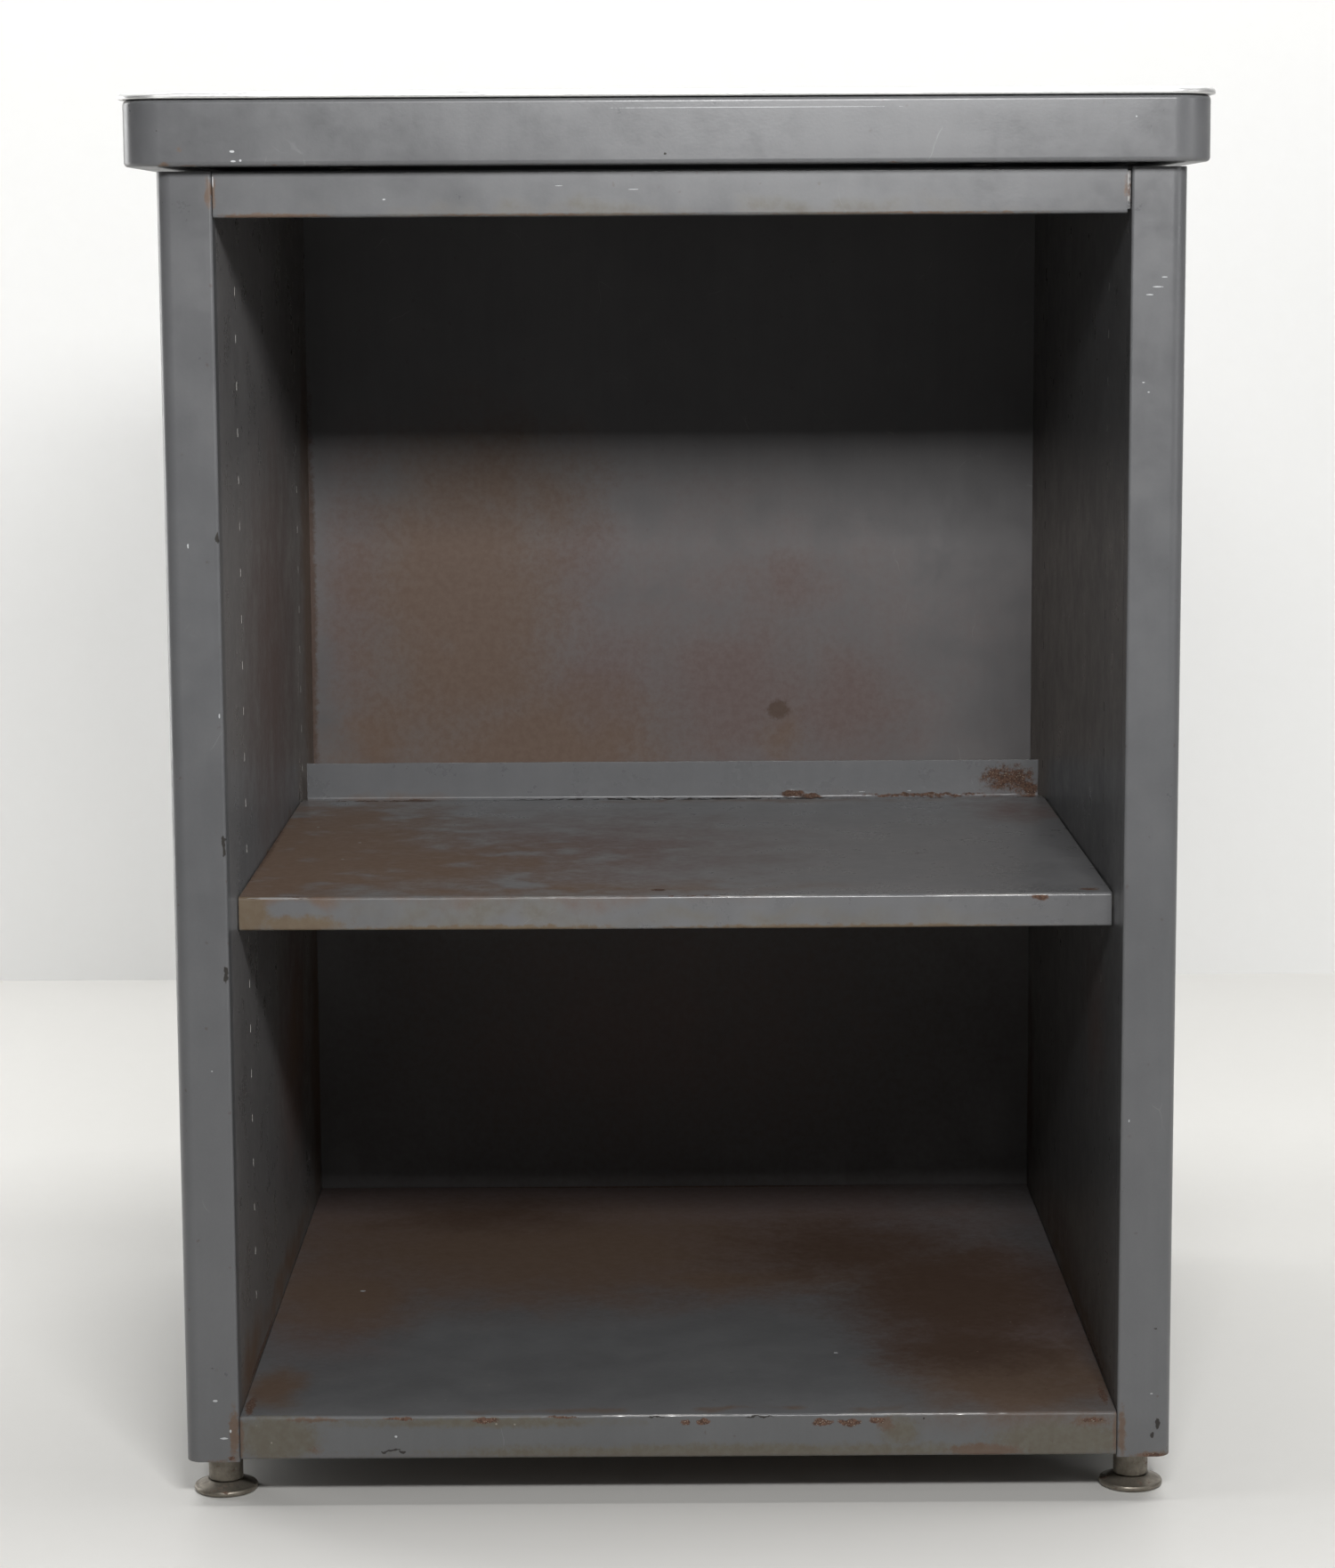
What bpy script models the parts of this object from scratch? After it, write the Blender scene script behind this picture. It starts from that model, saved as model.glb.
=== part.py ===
"""Desk-height steel shelf unit: double-walled body, bright-edged top, one
adjustable shelf on four clips and four screw-in levelling glides.

Frame: metres, +Z up, floor at Z = 0.  The open front faces -Y and +X is to the
right of somebody facing it.  The origin is on the floor under the centre of
the top.

Pieces are drawn in body coordinates: millimetres, x from the body's centre
line, y from its front face towards the rear, z from the floor.
"""
import math

import bmesh
import bpy
from mathutils import Vector

MM = 0.001

# ---------------------------------------------------- dimensions (millimetres)
GAP = 0.3                    # clearance between pieces that touch

BODY_HALF_W = 265.25         # body centre line to outer side face
BODY_D = 520.7               # front face to rear face
BODY_SHIFT_X = 2.45          # the top sits a little to the left on the body
OPEN_HALF_W = 236.2          # body centre line to inner side wall
CORNER_R = 8.0               # vertical outside corners
SKIN_T = 1.2                 # outer sheet
LINER_T = 1.0                # inner sheet
FOLD_R = 1.6                 # usual fold, on the face the path follows
STILE_RETURN = 15.0          # folded-back edge behind each front stile

Z_STILE_BOT = 24.7
Z_RAIL_BOT = 26.0            # underside of the bottom shelf's front lip
Z_BACK_BOT = 27.5            # inner back and base rear rail
Z_FLOOR_TOP = 49.9           # upper face of the bottom shelf
Z_HEADER_BOT = 687.7
Z_BODY_TOP = 711.3
SKIN_INNER_X = BODY_HALF_W - SKIN_T - GAP    # clear of the outer side sheet

# Back walls
Y_INNER_BACK = 494.5         # front face of the inner back
Y_OUTER_BACK = BODY_D - SKIN_T - GAP - LINER_T   # front face of the outer back
INNER_BACK_HALF_W = 262.0
OUTER_BACK_HALF_W = 250.0

# Slotted inner side walls
SLOT_PITCH = 25.4
SLOT_TOP_Z = 649.3           # centre of the highest slot
SLOT_COUNT = 23
SLOT_H = 4.5
SLOT_W = 2.2
SLOT_Y = (95.25, 416.6)      # front and rear slot columns
SLOT_Z = [SLOT_TOP_Z - SLOT_PITCH * k for k in range(SLOT_COUNT)]
LINER_Y0 = STILE_RETURN + GAP
LINER_Y1 = Y_INNER_BACK - GAP
Z_LEDGE = Z_FLOOR_TOP - SKIN_T - GAP         # upper face of the wall's ledge
LEDGE_W = 14.0
LEDGE_FOLD_R = 0.6
LEDGE_NOTCH_D = 3.0          # the ledge stops this far short of the wall's rear
LEDGE_NOTCH_H = 0.5          # cells starting lower than this belong to the ledge

# Screws that hold the top down, and the rails they pass through
TOP_SCREW_X = (-168.0, 157.0)
TOP_SCREW_Y = (10.0, 509.0)
SCREW_HOLE_R = 2.8
HEADER_DEPTH = 24.0
HEADER_RIGHT_CLEARANCE = 2.3
ACCESS_HALF_W = 20.0         # openings in the header, centred on the screws
ACCESS_Y = (4.0, 18.0)
ACCESS_HOLES = [(x - ACCESS_HALF_W, x + ACCESS_HALF_W) for x in TOP_SCREW_X]
REAR_RAIL_Y = (Y_INNER_BACK + LINER_T + GAP, Y_OUTER_BACK - GAP)
REAR_RAIL_HALF_W = 236.0
SIDE_CHANNEL_X = (OPEN_HALF_W + LINER_T + 0.5, SKIN_INNER_X)

# Adjustable shelf
SHELF_Y0 = 43.2              # front lip
SHELF_HALF_W = 235.5
Z_SHELF = 326.0              # upper face
SHELF_LIP = 18.3
STOP_Y = 399.9               # turned-up rear edge
STOP_HALF_W = 231.9
STOP_H = 23.6
STOP_TAPER_Y = STOP_Y - 5.0  # the deck starts to narrow here
STOP_TAPER_D = 4.0

# Shelf clips
CLIP_SLOT = 13               # index of the slot in use, 0 being the highest
CLIP_T = 1.5
LEAF_OVERLAP = 0.4           # leaf past the web's middle, so the two join
LEAF_REACH = (("front", 24.0), ("rear", -29.0))    # from the slot column, +y rearward

# Top
TOP_HALF_W = 279.0           # apron
TOP_OVERHANG_Y = 15.24       # apron in front of and behind the body
TOP_R = 21.0                 # apron corner radius in plan
TOP_CORNER_SEGMENTS = 7
Z_APRON_BOT = 713.5
Z_DECK = 747.1
TOP_RETURN = 34.0            # turned-in flange under the apron
TOP_FOLD_R = 2.4             # outer radius of the apron's folds
TOP_FOLD_SEGMENTS = 2
TRIM_PROUD = 2.3             # bright edging stands out from the apron
TRIM_IN = 14.0               # width of the edging on top of the deck
Z_TRIM_BOT = Z_DECK + GAP
Z_TRIM_TOP = 751.1
LINOLEUM_DROP = 0.4          # linoleum below the edging

# Levelling glides
GLIDE_X = 247.6
STEM_R = 9.4
DISC_R = 17.3
GLIDE_HOLE_R = 9.8
PLATE_INNER_X = 214.0
PLATE_Z0 = Z_RAIL_BOT + SKIN_T + GAP
PLATE_Z1 = 30.0
NUT_HALF_FLATS = 13.2
Z_NUT_TOP = 41.0
# row, glide y, front and rear edges of its corner plate
GLIDE_ROWS = (
    ("front", 30.5, (STILE_RETURN + 0.6, 62.0)),
    ("rear", 470.0, (439.0, 492.5)),
)

SIDES = (("left", -1.0), ("right", 1.0))     # name, sign of x
TOP_SCREWS = {f"{row}_{side}": (x, y)
              for row, y in zip(("front", "rear"), TOP_SCREW_Y)
              for (side, _), x in zip(SIDES, TOP_SCREW_X)}

# ------------------------------------------------------------------ materials
SHARP_ANGLE = math.radians(35.0)

FINISHES = {
    "grey_paint": dict(colour=(0.125, 0.128, 0.132), roughness=0.42, metallic=0.0),
    "worn_paint": dict(colour=(0.115, 0.105, 0.095), roughness=0.55, metallic=0.0),
    "bright_trim": dict(colour=(0.72, 0.72, 0.71), roughness=0.30, metallic=1.0),
    "linoleum": dict(colour=(0.10, 0.095, 0.088), roughness=0.60, metallic=0.0),
    "plated_steel": dict(colour=(0.42, 0.41, 0.39), roughness=0.42, metallic=1.0),
    "glide_steel": dict(colour=(0.20, 0.185, 0.165), roughness=0.50, metallic=1.0),
    "raw_steel": dict(colour=(0.23, 0.22, 0.21), roughness=0.55, metallic=1.0),
}


def new_material(name, colour, roughness, metallic):
    material = bpy.data.materials.new(name)
    material.use_nodes = True
    shader = material.node_tree.nodes["Principled BSDF"]
    shader.inputs["Base Color"].default_value = (*colour, 1.0)
    shader.inputs["Roughness"].default_value = roughness
    shader.inputs["Metallic"].default_value = metallic
    material.diffuse_color = (*colour, 1.0)
    return material


# -------------------------------------------------------------- scene helpers
def clear_scene():
    for ob in list(bpy.data.objects):
        bpy.data.objects.remove(ob, do_unlink=True)
    for mesh in list(bpy.data.meshes):
        bpy.data.meshes.remove(mesh)


def add_object(name, bm, finish, origin=(0.0, 0.0, 0.0)):
    """Turns a bmesh in body coordinates into an object in metres, with its own
    material.  origin, also in body coordinates, becomes the object's origin."""
    origin = Vector(origin)
    bmesh.ops.remove_doubles(bm, verts=bm.verts, dist=1e-4)
    bmesh.ops.recalc_face_normals(bm, faces=bm.faces)
    for vert in bm.verts:
        vert.co = (vert.co - origin) * MM
    mesh = bpy.data.meshes.new(name)
    bm.to_mesh(mesh)
    bm.free()
    mesh.shade_smooth()
    mesh.set_sharp_from_angle(angle=SHARP_ANGLE)
    mesh.materials.append(new_material(f"{name}_{finish}", **FINISHES[finish]))
    ob = bpy.data.objects.new(name, mesh)
    bpy.context.scene.collection.objects.link(ob)
    ob.location = (origin + Vector((BODY_SHIFT_X, -BODY_D / 2.0, 0.0))) * MM
    return ob


def add_boolean(ob, guide, operation):
    """Combines ob with a guide object that is itself kept out of renders."""
    guide.hide_render = True
    guide.display_type = "WIRE"
    modifier = ob.modifiers.new("cut", "BOOLEAN")
    modifier.operation = operation
    modifier.solver = "EXACT"
    modifier.object = guide


def drill(ob, name, places, radius, z0, z1, segments=16):
    """Round vertical holes, all cut by one guide object."""
    bm = bmesh.new()
    for x, y in places:
        revolve(bm, [(0.0, z0), (radius, z0), (radius, z1), (0.0, z1)], x, y, segments)
    add_boolean(ob, add_object("guide_" + name, bm, "raw_steel"), "DIFFERENCE")


# -------------------------------------------------------------- folded sheets
def left_normal(direction):
    direction = direction.normalized()
    return Vector((-direction.y, direction.x))


def fillet_path(points, radii, segments):
    """Rounds the inner corners of a 2D path, one radius per corner.  Returns
    (point, normal) pairs; normals are to the left of the direction of travel."""
    points = [Vector(p) for p in points]
    path = [(points[0], left_normal(points[1] - points[0]))]
    for before, corner, after, radius in zip(points, points[1:], points[2:], radii):
        back = (before - corner).normalized()
        ahead = (after - corner).normalized()
        half_angle = back.angle(ahead) / 2.0
        tangent = radius / math.tan(half_angle)
        centre = corner + (back + ahead).normalized() * (radius / math.sin(half_angle))
        start = corner + back * tangent - centre
        end = corner + ahead * tangent - centre
        start_angle = math.atan2(start.y, start.x)
        sweep = math.atan2(end.y, end.x) - start_angle
        sweep = (sweep + math.pi) % (2 * math.pi) - math.pi
        turn = 1.0 if sweep > 0 else -1.0
        for k in range(segments + 1):
            angle = start_angle + sweep * k / segments
            radial = Vector((math.cos(angle), math.sin(angle)))
            path.append((centre + radial * radius, radial * -turn))
    path.append((points[-1], left_normal(points[-1] - points[-2])))
    return path


def add_breaks(path, axis, values):
    """Splits the stretches of a path where one coordinate passes the values."""
    result = [path[0]]
    for (p0, n0), (p1, n1) in zip(path, path[1:]):
        low, high = sorted((p0[axis], p1[axis]))
        cuts = [(v - p0[axis]) / (p1[axis] - p0[axis])
                for v in values if low + 1e-6 < v < high - 1e-6]
        result.extend((p0.lerp(p1, t), n0.lerp(n1, t)) for t in sorted(cuts))
        result.append((p1, n1))
    return result


def along_x(p, x):
    """Path in (y, z), drawn out in x."""
    return (x, p.x, p.y)


def along_y(sign):
    """Path in (x, z) on the side given by sign, drawn out in y."""
    return lambda p, y: (sign * p.x, y, p.y)


def along_z(sign):
    """Path in (x, y) on the side given by sign, drawn out in z."""
    return lambda p, z: (sign * p.x, p.y, z)


def folded_sheet(name, finish, path, thickness, stations, place,
                 is_hole=None, origin=(0.0, 0.0, 0.0)):
    """A path given thickness along its normals and drawn out through stations.
    place(point, station) gives 3D points.  Cells for which
    is_hole(p0, p1, s0, s1) is true are left open, with walls round them."""
    bm = bmesh.new()
    verts = {}

    def vert(i, j, offset):
        key = (i, j, offset)
        if key not in verts:
            point, normal = path[i]
            verts[key] = bm.verts.new(place(point + normal * offset, stations[j]))
        return verts[key]

    solid = {(i, j)
             for i in range(len(path) - 1)
             for j in range(len(stations) - 1)
             if not (is_hole and is_hole(path[i][0], path[i + 1][0],
                                         stations[j], stations[j + 1]))}
    for i, j in sorted(solid):
        corners = ((i, j), (i + 1, j), (i + 1, j + 1), (i, j + 1))
        face = [vert(a, b, 0.0) for a, b in corners]
        other = [vert(a, b, thickness) for a, b in corners]
        bm.faces.new(face)
        bm.faces.new(other[::-1])
        # neighbours in the order of the cell's edges
        for a, (di, dj) in enumerate(((0, -1), (1, 0), (0, 1), (-1, 0))):
            if (i + di, j + dj) not in solid:
                b = (a + 1) % 4
                bm.faces.new((face[b], face[a], other[a], other[b]))
    return add_object(name, bm, finish, origin)


def channel(name, near_far, z_web, z_edge, ends, place):
    """A level web with two flanges that run from z_web to z_edge."""
    near, far = near_far
    path = fillet_path([(near, z_edge), (near, z_web), (far, z_web), (far, z_edge)],
                       (FOLD_R, FOLD_R), 2)
    thickness = SKIN_T if z_edge > z_web else -SKIN_T
    return folded_sheet(name, "raw_steel", path, thickness, ends, place)


# --------------------------------------------------------------- solid shapes
def box(bm, xs, ys, zs):
    verts = [bm.verts.new((x, y, z)) for x in sorted(xs) for y in sorted(ys) for z in sorted(zs)]
    for face in ((0, 1, 3, 2), (4, 6, 7, 5), (0, 4, 5, 1),
                 (2, 3, 7, 6), (0, 2, 6, 4), (1, 5, 7, 3)):
        bm.faces.new([verts[i] for i in face])


def box_piece(name, finish, xs, ys, zs):
    bm = bmesh.new()
    box(bm, xs, ys, zs)
    return add_object(name, bm, finish)


def revolve(bm, profile, x, y, segments, closed=False, shape=None):
    """Turns (radius, z) points about a vertical axis through x, y.
    shape(angle, radius) may replace the radius."""
    rows = []
    for radius, z in profile:
        if radius <= 1e-9:
            rows.append([bm.verts.new((x, y, z))])
            continue
        row = []
        for k in range(segments):
            angle = 2 * math.pi * k / segments
            r = shape(angle, radius) if shape else radius
            row.append(bm.verts.new((x + r * math.cos(angle), y + r * math.sin(angle), z)))
        rows.append(row)
    pairs = list(zip(rows, rows[1:]))
    if closed:
        pairs.append((rows[-1], rows[0]))
    for a, b in pairs:
        for k in range(segments):
            k2 = (k + 1) % segments
            if len(a) == 1:
                bm.faces.new((a[0], b[k2], b[k]))
            elif len(b) == 1:
                bm.faces.new((a[k], a[k2], b[0]))
            else:
                bm.faces.new((a[k], a[k2], b[k2], b[k]))


def turned_piece(name, finish, profile, x, y, segments, closed=False, shape=None,
                 origin=(0.0, 0.0, 0.0)):
    bm = bmesh.new()
    revolve(bm, profile, x, y, segments, closed, shape)
    return add_object(name, bm, finish, origin)


def top_outline(inset, z):
    """The apron's rounded rectangle in plan, moved inwards by inset."""
    radius = max(TOP_R - inset, 0.05)
    dx = TOP_HALF_W - inset - radius
    x0, x1 = -BODY_SHIFT_X - dx, -BODY_SHIFT_X + dx
    y0 = -TOP_OVERHANG_Y + inset + radius
    y1 = BODY_D + TOP_OVERHANG_Y - inset - radius
    points = []
    for cx, cy, start in ((x1, y1, 0.0), (x0, y1, 90.0), (x0, y0, 180.0), (x1, y0, 270.0)):
        for k in range(TOP_CORNER_SEGMENTS + 1):
            angle = math.radians(start + 90.0 * k / TOP_CORNER_SEGMENTS)
            points.append((cx + radius * math.cos(angle), cy + radius * math.sin(angle), z))
    return points


def top_loft(name, finish, profile, closed=False):
    """Joins top outlines at (inset, z) points, capped unless closed on itself."""
    bm = bmesh.new()
    rings = [[bm.verts.new(p) for p in top_outline(inset, z)] for inset, z in profile]
    pairs = list(zip(rings, rings[1:]))
    if closed:
        pairs.append((rings[-1], rings[0]))
    for a, b in pairs:
        for k in range(len(a)):
            k2 = (k + 1) % len(a)
            bm.faces.new((a[k], a[k2], b[k2], b[k]))
    if not closed:
        bm.faces.new(rings[0][::-1])
        bm.faces.new(rings[-1])
    return add_object(name, bm, finish)


# ----------------------------------------------------------------------- body
def build_side_panels():
    """Outer sheets, each with its front stile and rear corner."""
    outline = [(OPEN_HALF_W, STILE_RETURN), (OPEN_HALF_W, 0.0), (BODY_HALF_W, 0.0),
               (BODY_HALF_W, BODY_D), (OPEN_HALF_W, BODY_D)]
    path = fillet_path(outline, (FOLD_R, CORNER_R, CORNER_R), 8)
    for side, sign in SIDES:
        folded_sheet(side + "_side_panel", "grey_paint", path, SKIN_T,
                     (Z_STILE_BOT, Z_BODY_TOP), along_z(sign))


def is_wall_hole(p0, p1, y0, y1):
    """Slots, and the notch that clears the bottom shelf's rear flange."""
    in_notch = y0 > LINER_Y1 - LEDGE_NOTCH_D - 0.1
    if in_notch and min(p0.y, p1.y) < Z_LEDGE + LEDGE_NOTCH_H:
        return True
    middle_y = (y0 + y1) / 2
    middle_z = (p0.y + p1.y) / 2
    return (any(abs(middle_y - y) < 0.1 for y in SLOT_Y)
            and any(abs(middle_z - z) < 0.1 for z in SLOT_Z))


def build_inner_walls():
    """Slotted walls; the ledge at the foot carries the bottom shelf."""
    path = fillet_path([(OPEN_HALF_W - LEDGE_W, Z_LEDGE), (OPEN_HALF_W, Z_LEDGE),
                        (OPEN_HALF_W, Z_BODY_TOP)], (LEDGE_FOLD_R,), 3)
    path = add_breaks(path, 1, [z + d for z in SLOT_Z for d in (-SLOT_H / 2, SLOT_H / 2)])
    slot_edges = [y + d for y in SLOT_Y for d in (-SLOT_W / 2, SLOT_W / 2)]
    stations = [LINER_Y0, *slot_edges, LINER_Y1 - LEDGE_NOTCH_D, LINER_Y1]
    for side, sign in SIDES:
        folded_sheet(side + "_inner_wall", "worn_paint", path, -LINER_T, stations,
                     along_y(sign), is_wall_hole)


def build_back_panels():
    box_piece("inner_back_panel", "worn_paint", (-INNER_BACK_HALF_W, INNER_BACK_HALF_W),
              (Y_INNER_BACK, Y_INNER_BACK + LINER_T), (Z_BACK_BOT, Z_BODY_TOP))
    box_piece("outer_back_panel", "grey_paint", (-OUTER_BACK_HALF_W, OUTER_BACK_HALF_W),
              (Y_OUTER_BACK, Y_OUTER_BACK + LINER_T), (Z_STILE_BOT, Z_BODY_TOP))


def drill_rail(ob, name, y):
    drill(ob, name, [(x, y) for x in TOP_SCREW_X], SCREW_HOLE_R,
          Z_BODY_TOP - 4.0, Z_BODY_TOP + 3.0)


def is_access_hole(p0, p1, x0, x1):
    in_lower_web = max(p0.y, p1.y) < Z_HEADER_BOT + 0.01
    in_depth = ACCESS_Y[0] < (p0.x + p1.x) / 2 < ACCESS_Y[1]
    return in_lower_web and in_depth and (x0, x1) in ACCESS_HOLES


def build_front_rail():
    """Channel open to the rear; its lower web has two openings that reach the
    screws which hold the top down."""
    path = fillet_path([(HEADER_DEPTH, Z_HEADER_BOT), (0.0, Z_HEADER_BOT),
                        (0.0, Z_BODY_TOP), (HEADER_DEPTH, Z_BODY_TOP)], (FOLD_R, FOLD_R), 4)
    path = add_breaks(path, 0, ACCESS_Y)
    stations = [-OPEN_HALF_W + GAP, *ACCESS_HOLES[0], *ACCESS_HOLES[1],
                OPEN_HALF_W - HEADER_RIGHT_CLEARANCE]
    rail = folded_sheet("top_front_rail", "grey_paint", path, -SKIN_T, stations,
                        along_x, is_access_hole)
    drill_rail(rail, "front_rail_holes", TOP_SCREW_Y[0])


def build_rail_angles():
    """Angles that tie the front rail's ends to the stiles."""
    outer_x = OPEN_HALF_W - GAP
    front_y = SKIN_T + GAP
    path = fillet_path([(OPEN_HALF_W - 19.0, front_y), (outer_x, front_y), (outer_x, 21.0)],
                       (1.5,), 3)
    for side, sign in SIDES:
        folded_sheet(side + "_rail_angle", "grey_paint", path, SKIN_T,
                     (Z_HEADER_BOT + 2.0, Z_BODY_TOP - 2.0), along_z(sign))


def build_rear_rails():
    """Channels between the two back panels, at the top and at the base."""
    ends = (-REAR_RAIL_HALF_W, REAR_RAIL_HALF_W)
    rail = channel("top_rear_rail", REAR_RAIL_Y, Z_BODY_TOP, Z_BODY_TOP - 20.0, ends, along_x)
    drill_rail(rail, "rear_rail_holes", TOP_SCREW_Y[1])
    channel("base_rear_rail", REAR_RAIL_Y, Z_BACK_BOT, 44.0, ends, along_x)


def build_side_channels():
    """Channels that close the hollow side walls above and below."""
    for side, sign in SIDES:
        channel(side + "_top_channel", SIDE_CHANNEL_X, Z_BODY_TOP, Z_BODY_TOP - 15.0,
                (9.0, Y_INNER_BACK - GAP), along_y(sign))
        channel(side + "_base_channel", SIDE_CHANNEL_X, Z_RAIL_BOT, 40.0,
                (64.0, 437.0), along_y(sign))


def build_bottom_shelf():
    """One folded sheet: return, front lip, deck and rear flange."""
    path = fillet_path([(11.0, Z_RAIL_BOT), (0.0, Z_RAIL_BOT), (0.0, Z_FLOOR_TOP),
                        (LINER_Y1, Z_FLOOR_TOP), (LINER_Y1, 31.0)], (1.8, 1.8, 1.8), 4)
    folded_sheet("bottom_shelf", "worn_paint", path, -SKIN_T,
                 (-OPEN_HALF_W + GAP, OPEN_HALF_W - GAP), along_x)


def build_stiffeners():
    """Hat sections that stiffen the bottom shelf and the top."""
    # name, deck above, y centre, depth, half length, x centre
    for name, z_deck, y, depth, half_length, x in (
            ("bottom_stiffener_front", Z_FLOOR_TOP, 165.0, 15.0, 215.0, 0.0),
            ("bottom_stiffener_rear", Z_FLOOR_TOP, 330.0, 15.0, 215.0, 0.0),
            ("top_stiffener_front", Z_DECK, 165.0, 20.0, 270.0, -BODY_SHIFT_X),
            ("top_stiffener_rear", Z_DECK, 355.0, 20.0, 270.0, -BODY_SHIFT_X)):
        z_top = z_deck - SKIN_T - GAP
        z_low = z_top - depth
        path = fillet_path([(y - 40.0, z_top), (y - 24.0, z_top), (y - 20.0, z_low),
                            (y + 20.0, z_low), (y + 24.0, z_top), (y + 40.0, z_top)],
                           (FOLD_R,) * 4, 2)
        folded_sheet(name, "raw_steel", path, -SKIN_T, (x - half_length, x + half_length),
                     along_x)


# ----------------------------------------------------------- adjustable shelf
def shelf_point(p, side):
    """Places a path point at the shelf's left (-1) or right (+1) end, which
    slants in to the width of the book stop."""
    taper = min(1.0, max(0.0, (p.x - STOP_TAPER_Y) / STOP_TAPER_D))
    half_width = SHELF_HALF_W + (STOP_HALF_W - SHELF_HALF_W) * taper
    return (side * half_width, p.x, p.y)


def build_adjustable_shelf():
    """One folded sheet: return, front lip, deck and a turned-up book stop."""
    z_lip = Z_SHELF - SHELF_LIP
    path = fillet_path([(SHELF_Y0 + 10.0, z_lip), (SHELF_Y0, z_lip), (SHELF_Y0, Z_SHELF),
                        (STOP_Y, Z_SHELF), (STOP_Y, Z_SHELF + STOP_H)], (1.7, 1.7, 2.0), 4)
    path = add_breaks(path, 0, (STOP_TAPER_Y,))
    folded_sheet("adjustable_shelf", "worn_paint", path, -SKIN_T, (-1.0, 1.0), shelf_point,
                 origin=(0.0, (SHELF_Y0 + STOP_Y) / 2, Z_SHELF))


def build_shelf_clips():
    """Angle brackets: a web with one hook that drops behind the slotted wall
    and a heel that bears on it, and a leaf under the shelf's deck."""
    z_leaf = Z_SHELF - SKIN_T - GAP
    z_tab = SLOT_Z[CLIP_SLOT] - SLOT_H / 2 + GAP     # underside of the tab in its slot
    z_tab_top = z_tab + 3.2
    z_hook = z_tab - 3.4
    z_heel = 301.0
    wall_x = OPEN_HALF_W - GAP                       # inside the wall
    hook_x = OPEN_HALF_W + LINER_T + GAP             # behind the wall
    hook_outer_x = hook_x + 1.9
    # (x, z) round the web
    outline = [
        (220.0, z_leaf), (wall_x, z_leaf), (wall_x, z_tab_top), (hook_outer_x, z_tab_top),
        (hook_outer_x, z_hook), (hook_x, z_hook), (hook_x, z_tab), (wall_x, z_tab),
        (wall_x, z_heel), (231.0, z_heel), (220.0, 318.0),
    ]
    for (row, reach), y in zip(LEAF_REACH, SLOT_Y):
        for side, sign in SIDES:
            bm = bmesh.new()
            front, rear = [[bm.verts.new((sign * x, y + dy, z)) for x, z in outline]
                           for dy in (-CLIP_T / 2, CLIP_T / 2)]
            bm.faces.new(front)
            bm.faces.new(rear[::-1])
            for a in range(len(outline)):
                b = (a + 1) % len(outline)
                bm.faces.new((front[a], front[b], rear[b], rear[a]))
            clip = add_object(f"shelf_clip_{row}_{side}", bm, "plated_steel")
            leaf = box_piece(f"guide_leaf_{row}_{side}", "raw_steel",
                             (sign * 219.6, sign * (wall_x - 0.2)),
                             (y - math.copysign(LEAF_OVERLAP, reach), y + reach),
                             (z_leaf - CLIP_T, z_leaf + 0.05))
            add_boolean(clip, leaf, "UNION")


# ------------------------------------------------------------------------ top
def fold_arc(z, radius, start, end):
    """(inset, z) points of an apron fold centred at height z, angles in degrees."""
    points = []
    for k in range(TOP_FOLD_SEGMENTS + 1):
        angle = math.radians(start + (end - start) * k / TOP_FOLD_SEGMENTS)
        points.append((TOP_FOLD_R - radius * math.cos(angle), z + radius * math.sin(angle)))
    return points


def build_top_pan():
    """A sheet pan, open below: deck, apron on four sides and turned-in return."""
    z_upper = Z_DECK - TOP_FOLD_R
    z_lower = Z_APRON_BOT + TOP_FOLD_R
    inner_r = TOP_FOLD_R - SKIN_T
    # deck underside, inside walls, return, outside walls, deck
    profile = [
        *fold_arc(z_upper, inner_r, 90, 0),
        *fold_arc(z_lower, inner_r, 0, -90),
        (TOP_RETURN, Z_APRON_BOT + SKIN_T),
        (TOP_RETURN, Z_APRON_BOT),
        *fold_arc(z_lower, TOP_FOLD_R, -90, 0),
        *fold_arc(z_upper, TOP_FOLD_R, 0, 90),
    ]
    pan = top_loft("top_pan", "grey_paint", profile)
    drill(pan, "top_pan_holes", TOP_SCREWS.values(), SCREW_HOLE_R,
          Z_APRON_BOT - 3.0, Z_APRON_BOT + 4.0)


def build_top_covering():
    """Bright edging with a rounded nose, and the linoleum set inside it."""
    z0, z1 = Z_TRIM_BOT, Z_TRIM_TOP
    height = z1 - z0
    # (inset, z)
    profile = [
        (TRIM_IN, z0),
        (-TRIM_PROUD + 1.0, z0),
        (-TRIM_PROUD + 0.3, z0 + 0.3),
        (-TRIM_PROUD, z0 + 1.0),
        (-TRIM_PROUD, z0 + height * 0.55),
        (-TRIM_PROUD + 0.35, z0 + height * 0.8),
        (-TRIM_PROUD + 1.2, z1 - 0.15),
        (-TRIM_PROUD + 2.4, z1),
        (TRIM_IN, z1),
    ]
    top_loft("top_edge_trim", "bright_trim", profile, closed=True)
    inset = TRIM_IN + GAP
    top_loft("linoleum_sheet", "linoleum", [(inset, z0), (inset, z1 - LINOLEUM_DROP)])


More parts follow.
